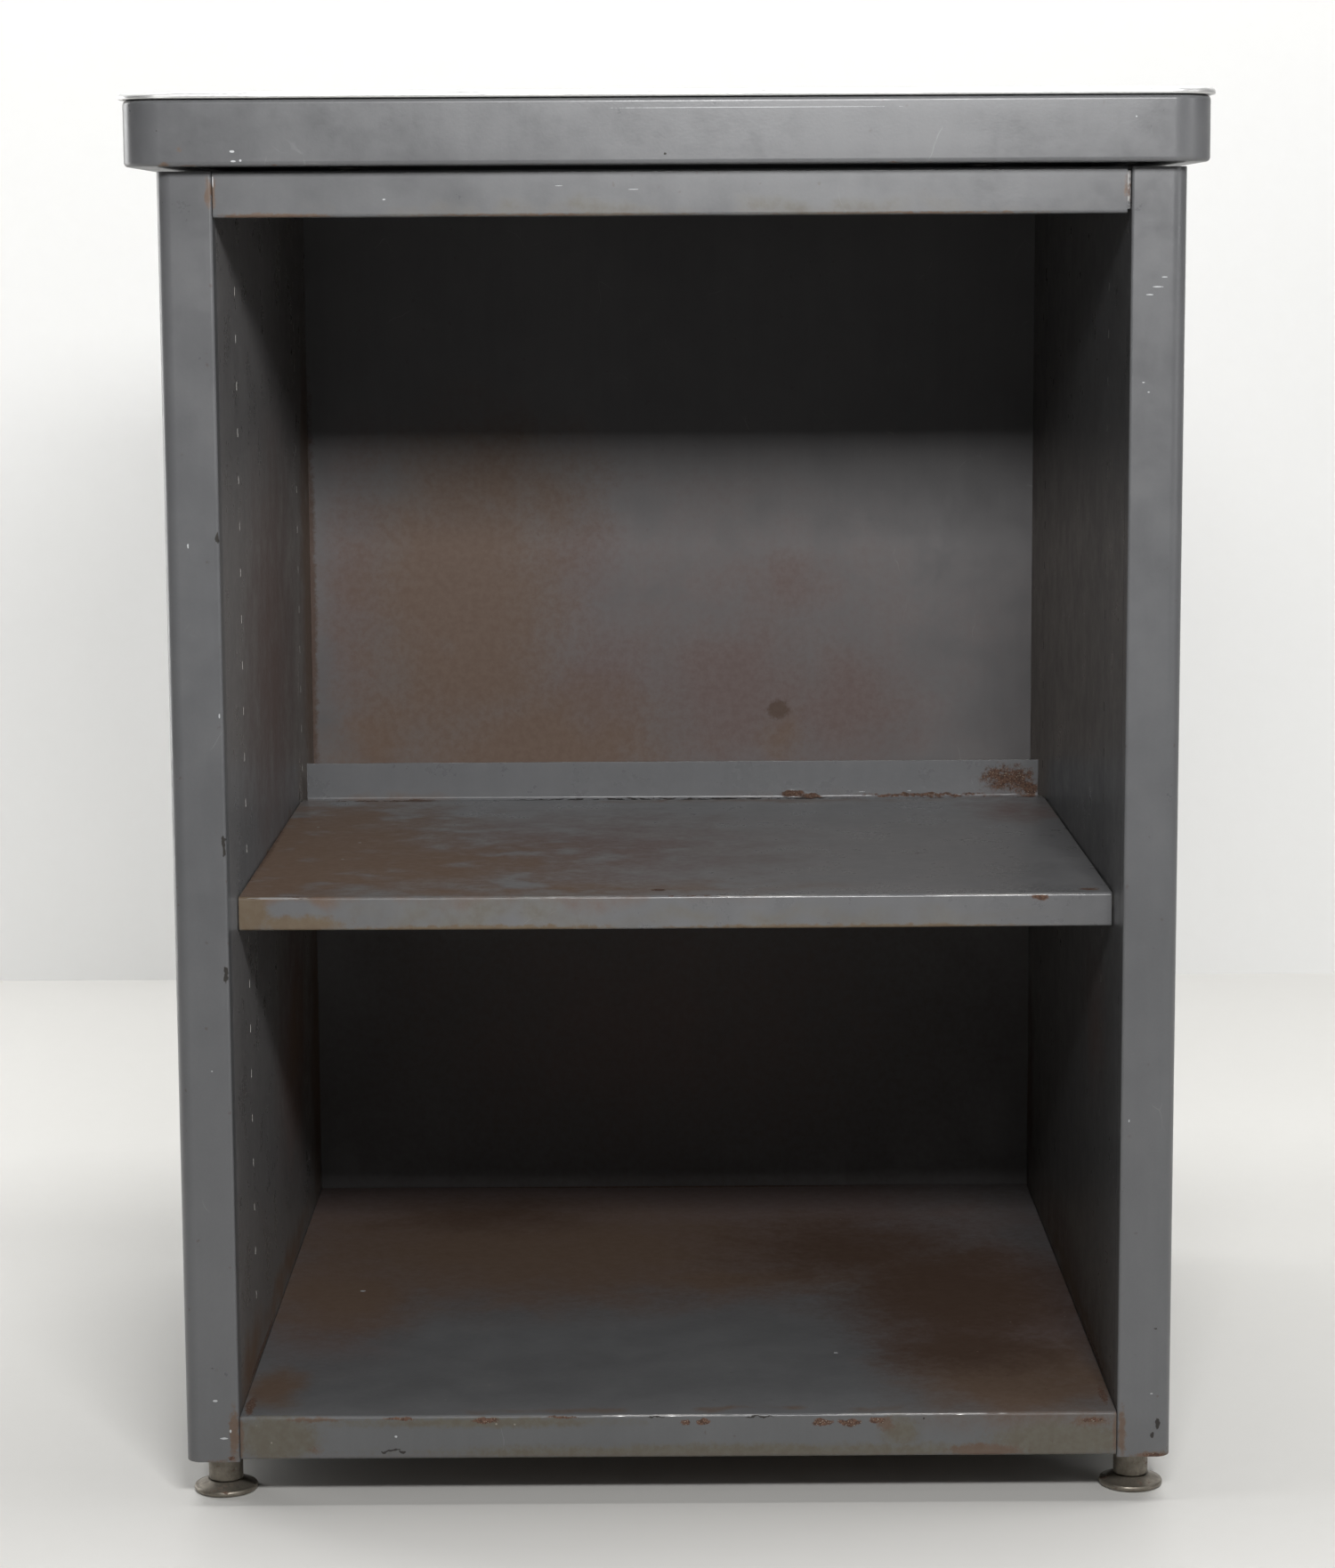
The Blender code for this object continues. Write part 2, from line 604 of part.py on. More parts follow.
def build_top_fixings():
    """Screws and spacers that hold the top down to the body."""
    z0, z1 = Z_BODY_TOP + GAP, Z_APRON_BOT - GAP
    z_head = Z_BODY_TOP - SKIN_T - GAP               # upper face of the screw head
    # (radius, z)
    spacer = [(SCREW_HOLE_R, z0), (8.0, z0), (8.0, z1), (SCREW_HOLE_R, z1)]
    screw = [
        (0.0, z_head - 2.6), (2.6, z_head - 2.5), (4.0, z_head - 1.7), (4.6, z_head - 0.4),
        (4.6, z_head), (2.4, z_head), (2.4, Z_APRON_BOT + 5.0), (1.6, Z_APRON_BOT + 6.5),
        (0.0, Z_APRON_BOT + 6.8),
    ]
    for place, (x, y) in TOP_SCREWS.items():
        turned_piece("top_spacer_" + place, "raw_steel", spacer, x, y, 16, closed=True)
        turned_piece("top_screw_" + place, "plated_steel", screw, x, y, 16)


# ---------------------------------------------------------- levelling glides
# (radius, z) of the threaded stem, with a blind bore below for the foot's pin
STEM_PROFILE = [
    (0.0, 14.0), (4.2, 14.0), (4.2, 6.6), (STEM_R - 0.4, 6.6), (STEM_R, 7.2),
    (STEM_R, 57.0), (STEM_R - 1.2, 58.2), (0.0, 58.2),
]
# (radius, z) of the domed foot, with a short pin that turns in the stem
FOOT_PROFILE = [
    (0.0, 0.0), (15.2, 0.0), (16.7, 0.5), (DISC_R, 1.5), (DISC_R, 2.5), (16.2, 3.5),
    (13.0, 4.7), (9.8, 6.2), (3.8, 6.25), (3.8, 13.4), (0.0, 13.4),
]
# (radius, z) of the nut on the plate
NUT_PROFILE = [
    (GLIDE_HOLE_R, PLATE_Z1 + GAP), (NUT_HALF_FLATS, PLATE_Z1 + GAP),
    (NUT_HALF_FLATS, Z_NUT_TOP), (GLIDE_HOLE_R, Z_NUT_TOP),
]


def nut_radius(angle, radius):
    """Six flats outside, round bore inside."""
    if radius < NUT_HALF_FLATS:
        return radius
    return radius / math.cos((angle + math.pi / 6) % (math.pi / 3) - math.pi / 6)


def build_glide(place, sign, y, plate_ys):
    x = sign * GLIDE_X
    plate = box_piece("glide_plate_" + place, "raw_steel",
                      (sign * PLATE_INNER_X, sign * SKIN_INNER_X),
                      plate_ys, (PLATE_Z0, PLATE_Z1))
    drill(plate, "plate_hole_" + place, [(x, y)], GLIDE_HOLE_R,
          PLATE_Z0 - 3.0, PLATE_Z1 + 3.0, 24)
    turned_piece("glide_nut_" + place, "raw_steel", NUT_PROFILE, x, y, 24,
                 closed=True, shape=nut_radius)
    turned_piece("glide_stem_" + place, "glide_steel", STEM_PROFILE, x, y, 20,
                 origin=(x, y, 0.0))
    turned_piece("glide_foot_" + place, "glide_steel", FOOT_PROFILE, x, y, 24,
                 origin=(x, y, 0.0))


def build_glides():
    for row, y, plate_ys in GLIDE_ROWS:
        for side, sign in SIDES:
            build_glide(f"{row}_{side}", sign, y, plate_ys)


clear_scene()
build_side_panels()
build_inner_walls()
build_back_panels()
build_front_rail()
build_rail_angles()
build_rear_rails()
build_side_channels()
build_bottom_shelf()
build_stiffeners()
build_adjustable_shelf()
build_shelf_clips()
build_top_pan()
build_top_covering()
build_top_fixings()
build_glides()
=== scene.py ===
"""Looks of an open steel shelf cabinet: folded sheets in worn, rusted enamel, turned
glides and a linoleum top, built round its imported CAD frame.

Pieces are drawn in body millimetres: x to the right from the middle of the body,
y backwards from its front, z up.  They are scaled to metres when they are made."""
import math

import bmesh
import bpy
from mathutils import Matrix, Vector, noise


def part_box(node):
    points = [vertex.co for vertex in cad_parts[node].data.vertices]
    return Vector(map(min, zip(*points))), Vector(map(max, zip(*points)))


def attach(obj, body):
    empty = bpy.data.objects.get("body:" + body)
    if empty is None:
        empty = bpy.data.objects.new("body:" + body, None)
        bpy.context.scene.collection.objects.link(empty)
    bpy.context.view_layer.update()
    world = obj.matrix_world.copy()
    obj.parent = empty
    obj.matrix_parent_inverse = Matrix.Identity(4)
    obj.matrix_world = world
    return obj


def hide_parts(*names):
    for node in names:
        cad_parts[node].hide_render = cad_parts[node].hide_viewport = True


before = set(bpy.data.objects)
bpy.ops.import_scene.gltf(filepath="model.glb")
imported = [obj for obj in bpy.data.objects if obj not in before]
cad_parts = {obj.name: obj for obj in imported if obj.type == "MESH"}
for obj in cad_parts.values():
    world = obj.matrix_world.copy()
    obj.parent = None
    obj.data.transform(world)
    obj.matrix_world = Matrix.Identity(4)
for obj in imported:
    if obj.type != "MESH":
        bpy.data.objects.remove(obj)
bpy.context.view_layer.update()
MM = 0.001

# ------------------------------------------------------------ sizes from the CAD
LEFT_LOW, LEFT_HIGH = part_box("left_side_panel")
RIGHT_LOW, RIGHT_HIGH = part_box("right_side_panel")
BODY_X = (LEFT_LOW.x + RIGHT_HIGH.x) / 2 * 1000      # world x of the body's middle
BODY_Y = LEFT_LOW.y * 1000                           # world y of the body's front
HALF_WIDTH = (RIGHT_HIGH.x - LEFT_LOW.x) / 2 * 1000
DEPTH = (LEFT_HIGH.y - LEFT_LOW.y) * 1000
SIDE_Z0 = LEFT_LOW.z * 1000
SIDE_Z1 = LEFT_HIGH.z * 1000


def cad_box(node):
    """A node's box in body millimetres: x0, x1, y0, y1, z0, z1."""
    low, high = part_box(node)
    return (low.x * 1000 - BODY_X, high.x * 1000 - BODY_X,
            low.y * 1000 - BODY_Y, high.y * 1000 - BODY_Y,
            low.z * 1000, high.z * 1000)


OPEN_HALF = cad_box("right_side_panel")[0]           # half the width of the opening
LINER_Y0, LINER_Y1 = cad_box("left_inner_wall")[2:4]
RAIL_X0, RAIL_X1, RAIL_Y0, RAIL_Y1, RAIL_Z0, RAIL_Z1 = cad_box("top_front_rail")
FLOOR_X0, FLOOR_X1, _, FLOOR_Y1, FLOOR_Z0, FLOOR_Z1 = cad_box("bottom_shelf")
SHELF_X0, SHELF_X1, SHELF_Y0, SHELF_Y1, SHELF_Z0, SHELF_Z1 = cad_box("adjustable_shelf")
TOP_X0, TOP_X1, TOP_Y0, TOP_Y1, TOP_Z0, TOP_Z1 = cad_box("top_pan")
TRIM_X0, _, TRIM_Y0, _, TRIM_Z0, TRIM_Z1 = cad_box("top_edge_trim")

# ---------------------------------------------------------------- chosen sizes
SKIN = 1.2                        # sheet thickness of the body, shelves and top
LINER = 1.0                       # sheet thickness of the inner walls
LIP_HEIGHT = 23.6                 # turned-up rear edge of the loose shelf
SHELF_DECK = SHELF_Z1 - LIP_HEIGHT
SHELF_HALF = (SHELF_X1 - SHELF_X0) / 2
LIP_HALF = 231.9                  # half width of the turned-up edge
LIP_Y = SHELF_Y1 - 5.0            # where the deck starts to narrow to it

SLOT_PITCH, SLOT_TOP, SLOT_COUNT = 25.4, 649.3, 23
SLOT_HEIGHT, SLOT_WIDTH = 4.5, 2.2
SLOT_Y = (95.25, 416.6)
SLOT_Z = [SLOT_TOP - SLOT_PITCH * k for k in range(SLOT_COUNT)]
LEDGE_Z = FLOOR_Z1 - SKIN - 0.3   # foot of each inner wall
LEDGE_CUT = 3.0                   # length its turned-in foot stops short at the rear

RAIL_HOLES_X = ((-188.0, -148.0), (137.0, 177.0))
RAIL_HOLES_Y = (4.0, 18.0)

TOP_RADIUS = 21.0                 # corners of the top, in plan
TOP_RETURN = 34.0                 # width of the top's turned-in lower edge
TOP_BEND = 2.4                    # outer radius of its folds
TRIM_WIDTH = 14.0                 # how far the bright edging reaches over the top
TRIM_PROUD = TOP_X0 - TRIM_X0
THREAD_PITCH = 2.54

# x, y, radius and depth of each knock in the bright edging
TRIM_KNOCKS = [
    (-262, -15, 9, 0.5), (-205, -15, 5, 0.35), (-60, -15, 4, 0.25), (36, -15, 3, 0.3),
    (118, -15, 6, 0.3), (205, -15, 4, 0.35), (262, 60, 6, 0.4), (276, 300, 7, 0.4),
    (-281, 120, 6, 0.4), (-281, 350, 5, 0.3), (40, 536, 6, 0.4)]
# y, z, radius and depth of each shallow knock in the sides
SIDE_KNOCKS = ((150, 210, 26, 0.5), (390, 520, 34, 0.45), (300, 90, 18, 0.5))
# x, height over the deck, two radii and thickness of scale on the shelf's rear edge
SHELF_SCALE = ((76, 2.6, 9, 3.2, 0.9), (88, 1.6, 7, 2.4, 0.7))

CORNERS = ("front_left", "front_right", "rear_left", "rear_right")


# ------------------------------------------------------------------ small maths
def clamp(value):
    return max(0.0, min(1.0, value))


def rise(start, end, value):
    """Eases from 0 at start to 1 at end."""
    t = clamp((value - start) / (end - start))
    return t * t * (3 - 2 * t)


def fall(start, end, value):
    return 1 - rise(start, end, value)


def ripple(x, y, z, size, seed):
    """Smooth noise with features of about the given size."""
    return noise.noise(Vector((x / size + seed * 7.31,
                               y / size - seed * 3.17,
                               z / size + seed * 5.77)))


def spread(start, end, step):
    """Even stations from start to end, no further apart than step."""
    count = max(1, int(math.ceil(abs(end - start) / step)))
    return [start + (end - start) * k / count for k in range(count + 1)]


def merge_runs(*lists, gap=0.05):
    """All stations in order, without those closer than gap to the one before."""
    merged = []
    for value in sorted(x for stations in lists for x in stations):
        if not merged or value - merged[-1] > gap:
            merged.append(value)
    return merged


# ------------------------------------------------------- paths: (point, normal) pairs
def fillet_path(points, radii, steps):
    """A polyline with its inner corners rounded."""
    path = []
    last = len(points) - 1
    for i, point in enumerate(points):
        here = Vector(point)
        if i in (0, last):
            along = Vector(points[1]) - here if i == 0 else here - Vector(points[i - 1])
            along.normalize()
            path.append((here, Vector((-along.y, along.x))))
            continue
        back = (Vector(points[i - 1]) - here).normalized()
        ahead = (Vector(points[i + 1]) - here).normalized()
        angle = back.angle(ahead)
        radius = radii[i]
        if radius > 0.0 and abs(angle - math.pi) > 1e-6:
            cut = radius / math.tan(angle / 2.0)
            centre = here + (back + ahead).normalized() * (radius / math.sin(angle / 2.0))
            first = here + back * cut - centre
            final = here + ahead * cut - centre
            angle0 = math.atan2(first.y, first.x)
            sweep = math.atan2(final.y, final.x) - angle0
            sweep = (sweep + math.pi) % (2 * math.pi) - math.pi
            turn = 1.0 if sweep > 0 else -1.0
            for k in range(steps + 1):
                t = angle0 + sweep * k / steps
                radial = Vector((math.cos(t), math.sin(t)))
                path.append((centre + radial * radius, radial * -turn))
            continue
        before = Vector((back.y, -back.x))
        after = Vector((-ahead.y, ahead.x))
        mitre = (before + after).normalized()
        path.append((here, mitre / max(0.2, mitre.dot(before))))
    return path


def add_breaks(path, axis, values):
    """Splits the path wherever its coordinate on the axis passes one of the values."""
    result = [path[0]]
    for (p0, n0), (p1, n1) in zip(path, path[1:]):
        low, high = sorted((p0[axis], p1[axis]))
        cuts = []
        for value in values:
            if low + 1e-4 < value < high - 1e-4:
                t = (value - p0[axis]) / (p1[axis] - p0[axis])
                cuts.append((t, (p0.lerp(p1, t), n0.lerp(n1, t))))
        cuts.sort(key=lambda cut: cut[0])
        result.extend(cut[1] for cut in cuts)
        result.append((p1, n1))
    return result


def subdivide(path, step):
    """Splits long straight stretches, so that they can carry a surface wave."""
    result = [path[0]]
    for (p0, n0), (p1, n1) in zip(path, path[1:]):
        count = max(1, int(math.ceil((p1 - p0).length / step)))
        for k in range(1, count + 1):
            result.append((p0.lerp(p1, k / count), n0.lerp(n1, k / count)))
    return result


# ---------------------------------------------------------------- mesh builders
def sheet(path, thickness, runs, place, wave, is_hole=None):
    """A folded sheet: the path swept through the runs.

    place(point, run) sets a path point in space and wave(place) pushes both faces
    along the sheet's normal.  Cut edges take the second material."""
    bm = bmesh.new()
    outer, inner = {}, {}

    def vertex(store, i, j, offset):
        if (i, j) not in store:
            point, normal = path[i]
            push = wave(place(point, runs[j]))
            store[(i, j)] = bm.verts.new(place(point + normal * (offset + push), runs[j]))
        return store[(i, j)]

    solid = {(i, j): not (is_hole and is_hole(path[i][0], path[i + 1][0], runs[j], runs[j + 1]))
             for i in range(len(path) - 1) for j in range(len(runs) - 1)}
    for (i, j), filled in solid.items():
        if not filled:
            continue
        corners = ((i, j), (i + 1, j), (i + 1, j + 1), (i, j + 1))
        near = [vertex(outer, a, b, 0.0) for a, b in corners]
        far = [vertex(inner, a, b, thickness) for a, b in corners]
        bm.faces.new(near)
        bm.faces.new(far[::-1])
        for k, (di, dj) in enumerate(((0, -1), (1, 0), (0, 1), (-1, 0))):
            if not solid.get((i + di, j + dj), False):
                after = (k + 1) % 4
                face = bm.faces.new((near[after], near[k], far[k], far[after]))
                face.material_index = 1
    return bm


def along_x(point, x):
    return Vector((x, point.x, point.y))


def along_z(point, z):
    return Vector((point.x, point.y, z))


def top_ring(inset, z, corner_steps=14, step=12.0):
    """The top's rounded outline, moved inwards, with its straight sides split."""
    radius = max(TOP_RADIUS - inset, 0.05)
    count_x = max(1, int((TOP_X1 - TOP_X0 - 2 * TOP_RADIUS) / step))
    count_y = max(1, int((TOP_Y1 - TOP_Y0 - 2 * TOP_RADIUS) / step))
    x0, x1 = TOP_X0 + inset + radius, TOP_X1 - inset - radius
    y0, y1 = TOP_Y0 + inset + radius, TOP_Y1 - inset - radius
    centres = ((x1, y1, 0.0), (x0, y1, 90.0), (x0, y0, 180.0), (x1, y0, 270.0))

    def on_corner(centre, turn):
        a = math.radians(centre[2] + turn)
        return Vector((centre[0] + radius * math.cos(a), centre[1] + radius * math.sin(a), z))

    points = []
    for i, centre in enumerate(centres):
        points += [on_corner(centre, 90.0 * k / corner_steps) for k in range(corner_steps + 1)]
        start = points[-1].copy()
        end = on_corner(centres[(i + 1) % 4], 0.0)
        count = count_x if i % 2 == 0 else count_y
        points += [start.lerp(end, k / count) for k in range(1, count)]
    return points


def shape_ring(points, move):
    """Moves each point of a ring by move(point, outward)."""
    moved = []
    for k, point in enumerate(points):
        tangent = points[(k + 1) % len(points)] - points[k - 1]
        outward = Vector((tangent.y, -tangent.x, 0.0)).normalized()
        moved.append(move(point, outward))
    return moved


def loft(rings, closed=False):
    """Joins rings in turn; capped at both ends, or closed back on the first."""
    bm = bmesh.new()
    rows = [[bm.verts.new(p) for p in ring] for ring in rings]
    for a, b in zip(rows, rows[1:] + (rows[:1] if closed else [])):
        n = len(a)
        for k in range(n):
            bm.faces.new((a[k], a[(k + 1) % n], b[(k + 1) % n], b[k]))
    if not closed:
        bm.faces.new(rows[0][::-1])
        bm.faces.new(rows[-1])
    return bm


def arc(z, radius, start, end, steps):
    """(x, z) points on an arc about (0, z); angles in degrees."""
    angles = [math.radians(start + (end - start) * k / steps) for k in range(steps + 1)]
    return [(radius * math.cos(a), z + radius * math.sin(a)) for a in angles]


def revolve(profile, x, y, steps, shape):
    """Turns (radius, z) points round an upright axis; shape(angle, z, radius)
    gives the radius really used."""
    bm = bmesh.new()
    angles = [2 * math.pi * k / steps for k in range(steps)]
    rows = []
    for radius, z in profile:
        if radius <= 1e-9:
            rows.append([bm.verts.new((x, y, z))])
            continue
        row = []
        for angle in angles:
            reach = shape(angle, z, radius)
            row.append(bm.verts.new((x + reach * math.cos(angle), y + reach * math.sin(angle), z)))
        rows.append(row)
    for a, b in zip(rows, rows[1:]):
        for k in range(steps):
            after = (k + 1) % steps
            if len(a) == 1:
                bm.faces.new((a[0], b[after], b[k]))
            elif len(b) == 1:
                bm.faces.new((a[k], a[after], b[0]))
            else:
                bm.faces.new((a[k], a[after], b[after], b[k]))
    return bm


def soften(ob, bevel, steps=2, angle=38.0):
    """Small rounded edges, then normals weighted by area so flats stay flat."""
    if bevel > 0:
        edge = ob.modifiers.new("edge", "BEVEL")
        edge.limit_method = "ANGLE"
        edge.angle_limit = math.radians(angle)
        edge.width = bevel * MM
        edge.segments = steps
        edge.use_clamp_overlap = True
    flat = ob.modifiers.new("flat", "WEIGHTED_NORMAL")
    flat.mode = "FACE_AREA"
    flat.keep_sharp = False


def piece(name, bm, materials, cad_node, body="cabinet", bevel=0.0, steps=2, angle=38.0):
    """Makes the object, scaled to metres, and stands it in for its CAD node."""
    bmesh.ops.remove_doubles(bm, verts=bm.verts, dist=1e-4)
    bmesh.ops.recalc_face_normals(bm, faces=bm.faces)
    for v in bm.verts:
        v.co = Vector(((v.co.x + BODY_X) * MM, (v.co.y + BODY_Y) * MM, v.co.z * MM))
    mesh = bpy.data.meshes.new(name)
    bm.to_mesh(mesh)
    bm.free()
    mesh.shade_smooth()
    ob = bpy.data.objects.new(name, mesh)
    bpy.context.scene.collection.objects.link(ob)
    for material in materials:
        mesh.materials.append(material)
    soften(ob, bevel, steps, angle)
    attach(ob, body)
    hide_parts(cad_node)


# ---------------------------------------------------------------- shader graphs
# noise size and push of each wobble of the position, in mm
WOBBLES = {"broad": (40.0, 30.0), "fine": (5.0, 4.0)}


def tinted(color, factors):
    return tuple(a * b for a, b in zip(color, factors))


class Shader:
    """A material and a few short ways to write its graph, in world millimetres."""

    def __init__(self, name):
        self.material = bpy.data.materials.new(name)
        self.material.use_nodes = True
        self.tree = self.material.node_tree
        self.tree.nodes.clear()
        self.output = self.add("OutputMaterial")
        self.principled = self.add("BsdfPrincipled")
        coords = self.add("TexCoord")
        self.position = self.vector_math("SCALE", coords.outputs["Object"], scale=1000.0)
        self.wobbles = {}

    def add(self, kind, **settings):
        node = self.tree.nodes.new("ShaderNode" + kind)
        for key, value in settings.items():
            setattr(node, key, value)
        return node

    def put(self, socket, value):
        """Links a socket to another, or sets its value."""
        if isinstance(value, bpy.types.NodeSocket):
            self.tree.links.new(value, socket)
        elif isinstance(value, (tuple, list)) and socket.type == "RGBA" and len(value) == 3:
            socket.default_value = (*value, 1.0)
        else:
            socket.default_value = value

    def math(self, operation, a, b=0.0):
        node = self.add("Math", operation=operation)
        for i, value in enumerate((a, b, 0.0)):
            self.put(node.inputs[i], value)
        return node.outputs[0]

    def product(self, a, b):
        return self.math("MULTIPLY", a, b)

    def total(self, first, *others):
        for other in others:
            first = self.math("ADD", first, other)
        return first

    def jitter(self, value, amount):
        """Noise moved to swing about 0, times an amount."""
        return self.product(self.math("SUBTRACT", value, 0.5), amount)

    def vector_math(self, operation, a, b=None, scale=None):
        node = self.add("VectorMath", operation=operation)
        self.put(node.inputs[0], a)
        if b is not None:
            self.put(node.inputs[1], b)
        if scale is not None:
            self.put(node.inputs["Scale"], scale)
        return node.outputs["Value" if operation == "DISTANCE" else "Vector"]

    def mix_color(self, factor, a, b, blend="MIX"):
        node = self.add("Mix", data_type="RGBA", blend_type=blend)
        self.put(node.inputs["Factor"], factor)
        self.put(node.inputs[6], a)
        self.put(node.inputs[7], b)
        return node.outputs[2]

    def mix_value(self, factor, a, b):
        node = self.add("Mix", data_type="FLOAT")
        self.put(node.inputs["Factor"], factor)
        self.put(node.inputs[2], a)
        self.put(node.inputs[3], b)
        return node.outputs[0]

    def mix_shader(self, factor, a, b):
        node = self.add("MixShader")
        for i, value in enumerate((factor, a, b)):
            self.put(node.inputs[i], value)
        return node.outputs[0]

    def noise(self, size, detail=2.0, rough=0.55, stretch=None, seed=0.0, output="Fac"):
        vector = self.position
        if stretch or seed:
            mapping = self.add("Mapping")
            self.put(mapping.inputs["Vector"], vector)
            mapping.inputs["Scale"].default_value = stretch or (1.0, 1.0, 1.0)
            mapping.inputs["Location"].default_value = (seed * 31.7, -seed * 17.1, seed * 11.3)
            vector = mapping.outputs[0]
        node = self.add("TexNoise")
        self.put(node.inputs["Vector"], vector)
        self.put(node.inputs["Scale"], 1.0 / size)
        self.put(node.inputs["Detail"], detail)
        self.put(node.inputs["Roughness"], rough)
        return node.outputs[output]

    def cells(self, size, feature="F1", at=None, stretch=None):
        """Distance in a cell pattern: to cell middles, or to their borders."""
        vector = at or self.position
        if stretch:
            vector = self.vector_math("MULTIPLY", vector, stretch)
        node = self.add("TexVoronoi", feature=feature)
        self.put(node.inputs["Vector"], vector)
        self.put(node.inputs["Scale"], 1.0 / size)
        return node.outputs["Distance"]

    def ramp(self, value, start, end, to=(0.0, 1.0)):
        """Eases from to[0] at start to to[1] at end."""
        node = self.add("MapRange", interpolation_type="SMOOTHSTEP")
        self.put(node.inputs["Value"], value)
        self.put(node.inputs["From Min"], start)
        self.put(node.inputs["From Max"], end)
        self.put(node.inputs["To Min"], to[0])
        self.put(node.inputs["To Max"], to[1])
        return node.outputs[0]

    def xyz(self, vector):
        node = self.add("SeparateXYZ")
        self.put(node.inputs[0], vector)
        return node.outputs

    def wobbled(self, kind):
        """The position pushed about by noise, shared by all that ask for the kind."""
        if kind not in self.wobbles:
            size, push = WOBBLES[kind]
            swing = self.noise(size, rough=0.6, output="Color")
            swing = self.vector_math("SUBTRACT", swing, (0.5, 0.5, 0.5))
            swing = self.vector_math("SCALE", swing, scale=push)
            self.wobbles[kind] = self.vector_math("ADD", self.position, swing)
        return self.wobbles[kind]

    def blob(self, middle, radii, strength, wobble):
        """A soft ellipsoid: its strength in the middle and 0 on its rim."""
        mapping = self.add("Mapping")
        self.put(mapping.inputs["Vector"], self.wobbled(wobble) if wobble else self.position)
        mapping.inputs["Scale"].default_value = tuple(1.0 / r for r in radii)
        mapping.inputs["Location"].default_value = tuple(
            -(m + o) / r for m, o, r in zip(middle, (BODY_X, BODY_Y, 0.0), radii))
        gradient = self.add("TexGradient", gradient_type="SPHERICAL")
        self.put(gradient.inputs["Vector"], mapping.outputs[0])
        out = gradient.outputs["Fac"]
        return out if strength == 1.0 else self.product(out, strength)

    def blobs(self, items, wobble=None, ease=True):
        """The largest of many blobs, eased or left as plain cones."""
        best = None
        for item in items:
            one = self.blob(*item, wobble)
            best = one if best is None else self.math("MAXIMUM", best, one)
        return self.ramp(best, 0.0, 0.75) if ease else self.product(best, 1.25)

    def bump(self, height, strength, distance):
        """distance is in metres."""
        node = self.add("Bump")
        self.put(node.inputs["Height"], height)
        self.put(node.inputs["Strength"], strength)
        self.put(node.inputs["Distance"], distance)
        return node.outputs[0]

    def finish(self, color, rough, metal, normal, plain, specular=0.5):
        """The eye sees the whole finish; bounced light meets a plainer mottle of it.

        plain: two colours, roughness and metallic of that mottle."""
        full = self.principled
        self.put(full.inputs["Base Color"], color)
        self.put(full.inputs["Roughness"], rough)
        self.put(full.inputs["Metallic"], metal)
        self.put(full.inputs["Specular IOR Level"], specular)
        self.put(full.inputs["Normal"], normal)
        mottle = self.add("BsdfPrincipled")
        tones = self.mix_color(self.noise(90.0, detail=0.0), plain[0], plain[1])
        self.put(mottle.inputs["Base Color"], tones)
        self.put(mottle.inputs["Roughness"], plain[2])
        self.put(mottle.inputs["Metallic"], plain[3])
        seen = self.add("LightPath").outputs["Is Camera Ray"]
        self.surface = self.mix_shader(seen, mottle.outputs[0], full.outputs[0])
        self.put(self.output.inputs[0], self.surface)
        return self.material


# -------------------------------------------------------------------- old enamel
PAINT = (0.113, 0.1145, 0.119)
# thin stains, and one painted shade: each multiplies the paint
BROWN = (1.03, 0.70, 0.49)
MAUVE = (0.99, 0.74, 0.68)
DARK = (0.62, 0.38, 0.26)
PEACH = (0.98, 0.74, 0.47)
GREEN = (0.98, 0.93, 0.78)
YELLOW = (1.02, 0.92, 0.70)
# not a stain: painted shade, darkening the back wall's lower part under the shelf
PAINTED_SHADE = (0.66, 0.62, 0.60)

X, Y, Z = 0, 1, 2


def patches(axis, place, reach, *rows):
    """Blobs in one plane across an axis, reaching some way to either side of it.

    Each row: the two other coordinates, their two radii and, unless it is 1, the
    strength."""
    items = []
    for a, b, radius_a, radius_b, *strength in rows:
        middle, radii = [a, b], [radius_a, radius_b]
        middle.insert(axis, place)
        radii.insert(axis, reach)
        items.append((middle, radii, strength[0] if strength else 1.0))
    return items


def broad_stain(tint, blobs, speckle=0.07):
    return dict(tint=tint, blobs=blobs, wobble="broad", speckle=speckle, softness=0.50)


def close_stain(tint, blobs, softness):
    return dict(tint=tint, blobs=blobs, wobble="fine", speckle=0.16, softness=softness)


